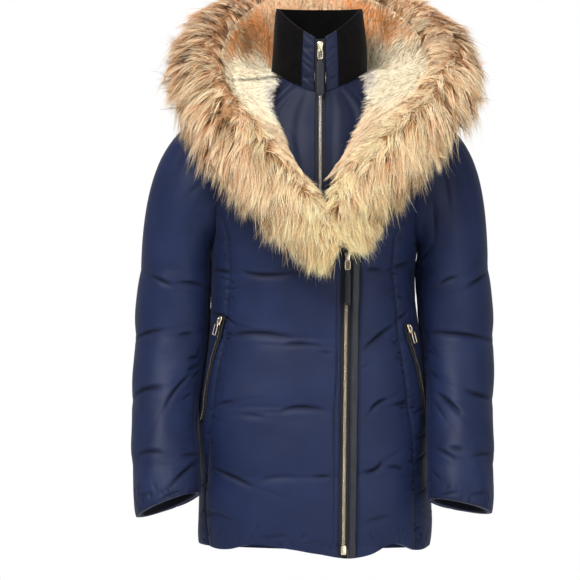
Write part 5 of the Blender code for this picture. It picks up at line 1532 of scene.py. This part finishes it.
class PARKA_OT_long_fur(bpy.types.Operator):
    """Builds the wide fur trim: an undercoat and two halves of long hair on each strand."""
    bl_idname = "parka.long_fur"
    bl_label = "Fur trim"

    def execute(self, context):
        for side in SIDES:
            add_piece(fur_core(side), "undercoat", replaces=[f"fur_trim_{side}"])
            for part, seed in (("front", 101), ("back", 203)):
                add_piece(fur_hairs(side, part, seed + SIDES[side]), "long_fur")
        return {"FINISHED"}


# Hue of the lining's pile by height in metres: grey-lavender 0, cream 0.3, peach 0.68, orange-brown 1
LINING_HUES = np.array([(-0.2, 0.66), (-0.075, 0.62), (-0.045, 0.3), (-0.03, 0.04), (-0.004, 0.04),
                        (0.008, 0.28),
                        (0.036, 0.32), (0.046, 0.75), (0.06, 0.95), (0.095, 1.0), (0.125, 0.8)])


class PARKA_OT_short_fur(bpy.types.Operator):
    """Builds the hood lining's short dense pile."""
    bl_idname = "parka.short_fur"
    bl_label = "Short fur lining"

    def execute(self, context):
        fur = context.scene.parka_fur
        rng = np.random.default_rng(77)
        grid, normal = hood_grid(69, 33, True)
        rows, columns = grid.shape[:2]
        count = fur.lining_hairs
        r, c = rng.uniform(0, rows - 1.001, count), rng.uniform(0, columns - 1.001, count)
        i, j = r.astype(int), c.astype(int)
        fr, fc = (r - i)[:, None], (c - j)[:, None]

        def blend(values):
            return ((values[i, j] * (1 - fc) + values[i, j + 1] * fc) * (1 - fr)
                    + (values[i + 1, j] * (1 - fc) + values[i + 1, j + 1] * fc) * fr)

        point, outward = blend(grid) + blend(normal) * HOOD_WALL, unit(blend(normal))
        towards_rim = unit(blend(np.gradient(grid, axis=0)))
        sideways = unit(blend(np.gradient(grid, axis=1)))
        lean = np.sin(c * 0.55) * 0.5 + np.sin(r * 0.9 + c * 0.3) * 0.3 + rng.normal(0, 0.35, count)
        flow = unit(towards_rim * -0.8 + sideways * lean[:, None] + np.array([0, 0, -0.35]))
        size = fur.short_hair * rng.uniform(0.7, 1.15, count)
        lift = 0.75 + 0.1 * rng.normal(0, 1, count)
        curves = hair_curves(point, outward, flow, size, lift, np.full(count, 0.05))
        x = point[:, 0]
        z = point[:, 2] - 0.026 * np.clip(x / 0.05, 0, 1) + 0.006 * np.sin(x * 70)
        z = z + 0.004 * np.sin(x * 160 + 1) + rng.normal(0, 0.006, count)
        hue = np.interp(z, LINING_HUES[:, 0], LINING_HUES[:, 1])
        beside_collar = np.clip((np.abs(x - COLLAR_X) - 0.085) / 0.02, 0, 1)
        hue = hue + 0.45 * beside_collar * np.clip(0.45 - hue, 0, 1) * 2

        def spot(depth, x0, z0, wide, high):
            return depth * np.exp(-(((x - x0) / wide) ** 2) - ((z - z0) / high) ** 2)

        # Painted shadow cast by the fur trim's overhang on the pile, on both sides
        overhang_shadow = np.maximum(spot(0.7, -0.118, 0.072, 0.02, 0.024), spot(0.6, 0.125, 0.085, 0.025, 0.022))
        seam = 0.7 * np.exp(-(((point[:, 2] - 0.0045 + 0.003 * np.sin(x * 40)) / 0.002) ** 2)) * (x < 0)
        seam = np.maximum(seam, 0.7 * np.exp(-(((z - 0.018 - 0.35 * (x - 0.11)) / 0.002) ** 2)) * (x > 0.095))
        streaks = 0.1 * np.sin(x * 260 + 30 * z) * np.sin(z * 170)
        zone = np.clip(np.stack([overhang_shadow + seam + streaks + rng.normal(0, 0.05, count),
                                 hue + rng.normal(0, 0.05, count)], -1), 0, 1)
        tone = np.clip(0.55 + rng.normal(0, 0.2, count), 0, 1)
        facing = outward + rng.normal(0, 0.5, (count, 3))
        mesh = ribbons("hood_lining_hair", curves, facing, np.full(count, 0.0009), tone, zone)
        add_piece(mesh, "short_fur")
        return {"FINISHED"}


# ---- Zips ----

STRIP_PARTS = np.linspace(0, 1, 17)  # columns across the outer zip's tape and the leather strip
STRIP_MIDDLE = len(STRIP_PARTS) // 2
TEETH_WIDTH, TEETH_SHARE = 0.0058, 0.62  # width of a chain and the share of it that one tooth reaches across


def frame_axes(place, upward, across):
    """A matrix whose Z runs up, X across and -Y outwards."""
    up = Vector(upward).normalized()
    ahead = up.cross(Vector(across)).normalized()
    right = ahead.cross(up).normalized()
    turn = Matrix((right, ahead, up)).transposed().to_4x4()
    return Matrix.Translation(Vector(place)) @ turn


def surface_frame(z, x, out=0.0):
    """Place and axes on the coat's front: across, up along the surface, and outwards."""
    angle = angle_at(z, x)
    place = coat(z, angle, out)
    above, beside = coat(z + 0.004, angle_at(z + 0.004, x), out), coat(z, angle + 0.01, out)
    return frame_axes(place, above - place, beside - place)


def line_on_coat(z, angle, out, below=-0.02):
    """A line of points at a distance from the coat's plain surface, and the way outwards at each."""
    line = coat(z, angle, out)
    return line, line - coat(z, angle, below)


def strip_grid(rows, first, last):
    """Angles and heights of a strip between two edge lines of the front, half a seam's gap short of each."""
    low, high = (angle_at(rows, edge(FRONT_EDGES, rows, column)) for column in (first, last))
    low, high = low + half_gap(rows, low, 1), high - half_gap(rows, high, -1)
    angle = low[:, None] + (high - low)[:, None] * STRIP_PARTS
    return angle, hem_lift(angle, rows[:, None])


def cords(part, height, place, wide):
    """Two woven ridges of a tape, each at the same share of its width from one edge."""
    return height * (np.exp(-(((part - place) / wide) ** 2)) + np.exp(-(((part - 1 + place) / wide) ** 2)))


def pocket_angle(side, z):
    """The angle of a pocket zip's middle at a height."""
    table = POCKETS[side][::-1]
    return angle_at(z, SIDES[side] * np.interp(z, table[:, 0], table[:, 1]))


def line_axes(points, outward):
    """Axes along a line of points: across, along and outwards, one set for each point."""
    along = unit(np.gradient(points, axis=0))
    outward = unit(outward - along * dot(outward, along))
    return np.stack([np.cross(along, outward), along, outward], 1)


def spaced(points, outward, pitch):
    """The same line with a point at every pitch of its length."""
    run = np.concatenate([[0], np.cumsum(np.linalg.norm(np.diff(points, axis=0), axis=-1))])
    at = np.arange(pitch / 2, run[-1], pitch)
    return (np.stack([np.interp(at, run, points[:, k]) for k in range(3)], -1),
            unit(np.stack([np.interp(at, run, outward[:, k]) for k in range(3)], -1)))


def zip_teeth(name, line, outward, finish, width=TEETH_WIDTH):
    """Metal teeth down a closed chain: two rows half a pitch apart that reach past the middle."""
    pitch = bpy.context.scene.parka_metal.pitch
    places, out = spaced(line, outward, pitch / 2)
    axes = line_axes(places, out)
    hand = np.where(np.arange(len(places)) % 2 == 0, 1.0, -1.0)[:, None]
    reach = width * TEETH_SHARE
    points, faces = capsule(6, [(-reach / 2, 0, 0), (-reach / 2 + 0.0002, 0.00072, 0.0009),
                                (reach * 0.15, 0.0006, 0.001), (reach / 2 - 0.0003, 0.00036, 0.0007),
                                (reach / 2, 0, 0)])
    turned = np.stack([axes[:, 1], -axes[:, 0] * hand, axes[:, 2]], 1)
    centre = places + axes[:, 0] * hand * (width - reach) / 2
    return add_piece(scatter(name, points, faces, centre, turned), finish)


class PARKA_OT_zips(bpy.types.Operator):
    """Builds the tapes and teeth of the outer, bib and pocket zips and the leather strip."""
    bl_idname = "parka.zips"
    bl_label = "Zips"

    def execute(self, context):
        self.front_zip()
        self.bib_zip()
        for side in SIDES:
            self.pocket_zip(side)
        return {"FINISHED"}

    def front_zip(self):
        """The outer zip's tape with two woven ridges, its chain, and the leather strip beside it."""
        angle, z = strip_grid(np.linspace(HEM, ZIP_TOP, 121), 1, 2)
        outer = coat(z, angle, -0.0035 + cords(STRIP_PARTS, 0.0007, 0.31, 0.05))
        mesh = wall_mesh("front_zip_tape", outer, coat(z, angle, -0.006)[COARSE])
        add_piece(mesh, "zip_tape", replaces=["front_zip"])
        chain = line_on_coat(z[4:, STRIP_MIDDLE], angle[4:, STRIP_MIDDLE], -0.0024)
        zip_teeth("front_zip_teeth", *chain, "pale_gold")
        angle, z = strip_grid(np.linspace(HEM, ZIP_TOP + STRIP_RISE - 0.0005, 129), 2, 3)
        round_over = -0.0012 * (2 * np.abs(STRIP_PARTS - 0.5)) ** 6 + waves(angle * 8, z, 3, 0.05, 0.0003)
        outer = coat(z, angle, -0.0005 + round_over)
        mesh = wall_mesh("zip_strip_leather", outer, coat(z, angle, -0.0055)[COARSE])
        add_piece(mesh, "black_leather", replaces=["zip_strip"])

    def bib_zip(self):
        """Tape through bib and collar, with pale teeth up to the slider and open above it."""
        rows = 1 - (1 - np.linspace(0, 1, 81)) ** 1.3
        part = np.linspace(0, 1, 13)
        x = BIB_ZIP_X + BIB_ZIP_HALF * (2 * part - 1)
        low = np.stack([bib_edge(rows[:-1], value) for value in x], -1)
        share_up = rows[:-1, None] + 0 * low
        turn = np.arcsin((x - COLLAR_X) / COLLAR_LOW[0])
        rise, turn = np.meshgrid(np.linspace(0, 0.97, 33), turn, indexing="ij")
        ridges = cords(part, 0.0006, 0.33, 0.06)
        belly = 0.0015 * np.sin(pi * rise)
        outer = np.vstack([bib_points(share_up, low, ridges + 0 * low - 0.0008),
                           collar_points(rise, turn, belly + ridges - 0.0008)])
        inner = np.vstack([bib_points(share_up, low, -0.0026 + 0 * low), collar_points(rise, turn, -0.0026)])
        mesh = wall_mesh("bib_zip_tape", outer, inner[COARSE])
        add_piece(mesh, "zip_tape", replaces=["bib_zip"])
        middle = outer[:, 6] + np.array([0, -0.0012, 0])
        shut = middle[middle[:, 2] < 0.05]
        zip_teeth("bib_zip_teeth", shut, np.tile([0.0, -1.0, 0.25], (len(shut), 1)), "pale_teeth", 0.0056)

    def pocket_zip(self, side):
        """A slanted tape on the panel's own surface with its chain, and a dark welt along each edge."""
        z = np.linspace(POCKETS[side][-1, 0], POCKETS[side][0, 0], 65)
        middle = pocket_angle(side, z)
        half = half_gap(z, middle, -SIDES[side], POCKET_HALF)
        part = np.linspace(-1, 1, 13)
        angle = middle[:, None] + half[:, None] * part
        height = z[:, None] + 0 * angle
        lift = POCKET_LIFT + baffle(height)
        welt = 0.0012 * np.exp(-(((np.abs(part) - 0.72) / 0.16) ** 2))
        outer = coat(height, angle, lift + POCKET_TAPE + welt)
        mesh = wall_mesh(f"pocket_{side}_tape", outer, coat(height, angle, lift)[COARSE])
        add_piece(mesh, "zip_tape", replaces=[f"pocket_zip_{side}"])
        chain = line_on_coat(z, middle, POCKET_LIFT + POCKET_TAPE + 0.0009 + baffle(z))
        zip_teeth(f"pocket_{side}_teeth", *chain, "pocket_teeth", 0.002)


# ---- Sliders and pulls ----

def placed(points, matrix):
    turn, shift = np.array(matrix.to_3x3()), np.array(matrix.translation)
    return points @ turn.T + shift


def swept(path, side, out, wide, high):
    """Rings of an oval section along a path, given its side direction and an outward one for each point."""
    turn = ring_turns(10)[:, None]
    return path[:, None] + side * (wide * np.cos(turn)) + out[:, None] * (high * np.sin(turn))


def slider_mesh(name, matrix):
    """A slider: rounded sections that narrow from its shoulders to its mouth, with a raised bridge."""
    width, depth, height = SLIDER
    t = np.linspace(0, 1, 17)
    half = width / 2 * np.interp(t, [0, 0.12, 0.45, 0.75, 0.92, 1], [0.62, 0.74, 0.8, 1.0, 0.96, 0.7])
    thick = depth * np.interp(t, [0, 0.08, 0.9, 1], [0.55, 0.8, 0.8, 0.55])
    turn = ring_turns(20)
    x = half[:, None] * signed_power(np.cos(turn), 0.55)
    y = -depth * 0.42 + thick[:, None] / 2 * signed_power(np.sin(turn), 0.55)
    body = np.stack([x, y, t[:, None] * height + 0 * x], -1)
    arch = np.linspace(0, pi, 15)
    y = -depth * 0.8 - depth * 0.55 * np.sin(arch)
    path = np.stack([0 * arch, y, height * (0.5 - 0.36 * np.cos(arch))], -1)
    side = np.array([1.0, 0, 0])
    bridge = swept(path, side, np.cross(side, unit(np.gradient(path, axis=0))), 0.0013, 0.0007)
    return join_grids(name, [closed_grid(body), closed_grid(bridge)], matrix)


def join_grids(name, parts, matrix):
    """Closed grids, each turned outwards and placed by a matrix, as one mesh."""
    points, quads, fans, count = [], [], [], 0
    for places, groups in parts:
        four, three = outwards(places, groups)
        points.append(placed(places, matrix))
        quads.append(four + count)
        fans.append(three + count)
        count += len(places)
    return shade(make_mesh(name, np.vstack(points), [np.vstack(quads), np.vstack(fans)]))


def ring_mesh(name, matrix, ring_length):
    """A wire ring: a round section carried along a long loop with round corners."""
    corner = RING_WIDTH * 0.3
    right, top, low = RING_WIDTH / 2 - corner, -corner, -ring_length + corner
    path = []
    for quarter, (x, z) in enumerate(((right, top), (-right, top), (-right, low), (right, low))):
        arc = np.linspace(0, pi / 2, 9) + quarter * pi / 2
        path.append(np.stack([x + corner * np.cos(arc), 0 * arc, z + corner * np.sin(arc)], -1))
    path = np.concatenate(path)
    side = np.array([0, 1.0, 0])
    ahead = unit(np.roll(path, -1, 0) - np.roll(path, 1, 0))
    points = swept(path, side, np.cross(ahead, side), RING_WIRE, RING_WIRE)
    index = numbered(points, tube=True)
    faces = sheet_faces(np.vstack([index, index[:1]]))
    return shade(make_mesh(name, placed(points.reshape(-1, 3), matrix), [faces]))


def tab_mesh(name, matrix, width, tab_length, thick, top):
    """A leather tab: soft-edged sections from a narrow neck to a full width and a round lower end."""
    t = np.linspace(0, 1, 41)
    z = -top - (tab_length - top) * t
    from_end = (1 - t) * (tab_length - top)
    neck = np.interp((-z - top), [0, 0.003, 0.008], [0.55, 0.6, 1.0])
    end = np.sqrt(np.clip(1 - (1 - np.clip(from_end / (width / 2), 0, 1)) ** 2, 0.002, 1))
    half = width / 2 * neck * end
    puff = thick / 2 * (0.8 + 0.2 * np.sin(pi * np.clip(t * 1.1, 0, 1)))
    turn = ring_turns(24)
    x = half[:, None] * signed_power(np.cos(turn), 0.45)
    y = (puff * np.clip(end, 0.4, 1))[:, None] * signed_power(np.sin(turn), 0.75)
    return join_grids(name, [closed_grid(np.stack([x, y, z[:, None] + 0 * x], -1))], matrix)


def zip_pull(prefix, matrix, ring_length, body, tab=None):
    """A slider on the chain with its ring, and a leather tab where one hangs from it."""
    mesh = slider_mesh(f"{prefix}_slider_metal", matrix)
    add_piece(mesh, "pale_gold", replaces=[f"{prefix}_slider"])
    hinge = matrix @ Matrix.Translation((0, -SLIDER[1] - CHAIN_RISE, HINGE_RISE))
    mesh = ring_mesh(f"{prefix}_ring_metal", hinge, ring_length)
    add_piece(mesh, "pale_gold", body, [f"{prefix}_ring"])
    if tab:
        width, tab_length, thick = tab
        top = ring_length + RING_WIRE + SEAM
        mesh = tab_mesh(f"{prefix}_pull_leather", hinge, width, tab_length + ring_length, thick, top)
        add_piece(mesh, "black_leather", body, [f"{prefix}_pull"])


def chain_x(z):
    """Where the outer zip's chain runs at a height."""
    return float(edge(FRONT_EDGES, z, 1) + edge(FRONT_EDGES, z, 2)) / 2


class PARKA_OT_pulls(bpy.types.Operator):
    """Builds the sliders, rings, leather tabs and the zip's bottom stop."""
    bl_idname = "parka.pulls"
    bl_label = "Sliders and pulls"

    def execute(self, context):
        upright, across = (0, 0, 1), (1, 0, 0)
        spot = surface_frame(ZIP_TOP - 0.003, chain_x(ZIP_TOP), out=-0.0006).translation
        zip_pull("front", frame_axes(spot, upright, across), TAB_RING, "front_tab", FRONT_TAB)
        turn = np.arcsin((BIB_ZIP_X - COLLAR_X) / COLLAR_LOW[0])
        spot = collar_points(0.75, turn, 0.0032)
        zip_pull("bib", frame_axes(spot, (0, PULL_LEAN, 1), across), TAB_RING, "bib_tab", BIB_TAB)
        lift = POCKET_LIFT + POCKET_TAPE + CHAIN_RISE + SEAM
        for side in SIDES:
            top = POCKETS[side][0, 0] - SLIDER[2]
            low, turn = top - POCKET_RING, pocket_angle(side, top)
            place = coat(top, turn, lift)
            upward = place - coat(low, pocket_angle(side, low), lift)
            matrix = frame_axes(place, upward, coat(top, turn + 0.01, lift) - place)
            zip_pull(f"pocket_{side}", matrix, POCKET_RING, f"pocket_{side}_tab")
        self.stop()
        return {"FINISHED"}

    def stop(self):
        """The bottom stop: a small rounded box across the chain."""
        z = HEM + 0.003
        t = np.linspace(-1, 1, 9)
        turn = ring_turns(16)
        end = 0.0015 * np.sqrt(1 - 0.35 * np.abs(t) ** 6)[:, None]
        x, y = 3 * end * signed_power(np.cos(turn), 0.5), end * signed_power(np.sin(turn), 0.5) - 0.0015
        body = np.stack([x, y, 0.007 * t[:, None] + 0 * turn], -1)
        place = surface_frame(z, chain_x(z), out=-0.0012)
        mesh = join_grids("front_zip_stop_metal", [closed_grid(body)], place)
        add_piece(mesh, "pale_gold", replaces=["front_zip_stop"])


# ---- Stitching ----

STITCH_LENGTH = 0.0026  # of the thread that shows, without the gap


def thread_line(angle, z, out):
    """Points of a seam's thread on the coat and their outward directions."""
    rise = relief(angle, z)[0] + baffle(z) + out
    return line_on_coat(z, angle, rise, rise - 0.01)


class PARKA_OT_stitching(bpy.types.Operator):
    """Builds the topstitching beside the zip, along the leather strip and round the hem."""
    bl_idname = "parka.stitching"
    bl_label = "Stitching"

    def execute(self, context):
        pitch = context.scene.parka_cloth.stitch
        lines = []
        z = np.linspace(-0.742, -0.3, 200)
        lines.append(thread_line(angle_at(z, edge(FRONT_EDGES, z, 1) - 0.0085), z, 0.0006))
        lines.append(thread_line(angle_at(z, edge(FRONT_EDGES, z, 3) + 0.003), z, 0.0))
        for column, shift in ((2, 0.0016), (3, -0.0016)):
            lines.append(line_on_coat(z, angle_at(z, edge(FRONT_EDGES, z, column) + shift), -0.0004))
        round_hem = np.linspace(-pi, pi, 500)
        for first, last in ((-pi + 0.01, 0.19), (0.44, pi - 0.01)):
            angle = round_hem[(round_hem > first) & (round_hem < last)]
            lines.append(thread_line(angle, hem_lift(angle, HEM + 0.02), 0.0002))
        points, faces = capsule(4, [(-0.5, 0, 0), (-0.3, 0.16, 0.14), (0.3, 0.16, 0.14), (0.5, 0, 0)])
        places, axes = [], []
        for line, outward in lines:
            spot, out = spaced(line, outward, pitch)
            places.append(spot)
            axes.append(line_axes(spot, out))
        points = points * STITCH_LENGTH
        mesh = scatter("topstitching", points, faces, np.concatenate(places), np.concatenate(axes))
        add_piece(mesh, "thread")
        return {"FINISHED"}


# ---- Stage ----

FRAMED, FRAME_CENTRE, CAMERA_AWAY = 0.928, (-0.0416, -0.336), 14.0
SENSOR = 36  # width of the camera's sensor in millimetres
FLOOR, FLOOR_RADIUS = -1.7, 9.0
FLOOR_GLOW = 0.62  # keeps the floor pale beyond the reach of the lamps; the coat isn't lit by it


class PARKA_OT_stage(bpy.types.Operator):
    """Builds the floor, the lights and the camera."""
    bl_idname = "parka.stage"
    bl_label = "Stage"

    def execute(self, context):
        scene, stage = context.scene, context.scene.parka_stage
        turn = ring_turns(96)
        ring = np.stack([FLOOR_RADIUS * np.cos(turn), FLOOR_RADIUS * np.sin(turn), FLOOR + 0 * turn], -1)
        mesh = make_mesh("floor", ring, [np.arange(len(ring))[None]])
        made = bpy.data.objects.new("floor", mesh)
        scene.collection.objects.link(made)
        paper, tree, shader = new_material("floor_paper", tuple(stage.floor), 0.9)
        bump(tree, shader, (noise(tree, object_place(tree), 300.0), 0.05, 0.0005))
        seen = add_node(tree, "ShaderNodeLightPath").outputs["Is Camera Ray"]
        tree.links.new(maths(tree, "MULTIPLY", seen, FLOOR_GLOW), shader.inputs["Emission Strength"])
        shader.inputs["Emission Color"].default_value = (1, 1, 1, 1)
        mesh.materials.append(paper)
        for name, place, size, power in (
                ("key_light", (-1.3, -2.6, 2.2), 1.6, stage.key),
                ("fill_light", (1.8, -2.8, 0.1), 2.4, stage.fill),
                ("rim_light", (0.2, 1.4, 2.2), 1.6, stage.rim)):
            lamp = bpy.data.lights.new(name, "AREA")
            lamp.size, lamp.energy = size, power
            light = bpy.data.objects.new(name, lamp)
            light.location = place
            aim = Vector((0, -0.05, -0.3)) - Vector(place)
            light.rotation_euler = aim.to_track_quat("-Z", "Y").to_euler()
            scene.collection.objects.link(light)
        scene.world = bpy.data.worlds.new("studio")
        scene.world.use_nodes = True
        tree = scene.world.node_tree
        backing = tree.nodes["Background"]
        backing.inputs["Color"].default_value = (1, 1, 1, 1)
        ray = add_node(tree, "ShaderNodeLightPath").outputs
        seen = maths(tree, "MULTIPLY", ray["Is Camera Ray"], 1 - stage.world)
        mirrored = maths(tree, "MULTIPLY", ray["Is Glossy Ray"], stage.mirrored - stage.world)
        total = maths(tree, "ADD", maths(tree, "ADD", seen, mirrored), stage.world)
        tree.links.new(total, backing.inputs["Strength"])
        lens = bpy.data.cameras.new("camera")
        camera = bpy.data.objects.new("camera", lens)
        camera.location = (FRAME_CENTRE[0], -CAMERA_AWAY, FRAME_CENTRE[1])
        camera.rotation_euler = (pi / 2, 0, 0)
        lens.sensor_width = SENSOR
        lens.lens = SENSOR * (CAMERA_AWAY - 0.12) / FRAMED
        lens.clip_end = 60
        lens.dof.use_dof = False
        scene.collection.objects.link(camera)
        scene.camera = camera
        scene.view_settings.view_transform = "Standard"
        return {"FINISHED"}


# ---- Add-on ----

STEPS = (PARKA_OT_body, PARKA_OT_sleeves, PARKA_OT_bib, PARKA_OT_hood, PARKA_OT_long_fur, PARKA_OT_short_fur,
         PARKA_OT_zips, PARKA_OT_pulls, PARKA_OT_stitching, PARKA_OT_stage)
GROUPS = {"parka_cloth": ClothSettings, "parka_fur": FurSettings, "parka_metal": MetalSettings,
          "parka_stage": StageSettings}


class PARKA_PT_panel(bpy.types.Panel):
    """Lists the parka's settings and the steps that build it."""
    bl_label = "Fur trimmed parka"
    bl_idname = "PARKA_PT_panel"
    bl_space_type = "VIEW_3D"
    bl_region_type = "UI"
    bl_category = "Parka"

    def draw(self, context):
        for step in STEPS:
            self.layout.operator(step.bl_idname)
        for name in GROUPS:
            box = self.layout.box()
            group = getattr(context.scene, name)
            for key in group.bl_rna.properties.keys():
                if key not in ("rna_type", "name"):
                    box.prop(group, key)


def register():
    for name, group in GROUPS.items():
        bpy.utils.register_class(group)
        setattr(bpy.types.Scene, name, PointerProperty(type=group))
    for step in STEPS:
        bpy.utils.register_class(step)
    bpy.utils.register_class(PARKA_PT_panel)


def unregister():
    bpy.utils.unregister_class(PARKA_PT_panel)
    for step in reversed(STEPS):
        bpy.utils.unregister_class(step)
    for name, group in GROUPS.items():
        delattr(bpy.types.Scene, name)
        bpy.utils.unregister_class(group)


def main():
    register()
    for step in STEPS:
        family, name = step.bl_idname.split(".")
        getattr(getattr(bpy.ops, family), name)()


if __name__ == "__main__":
    main()
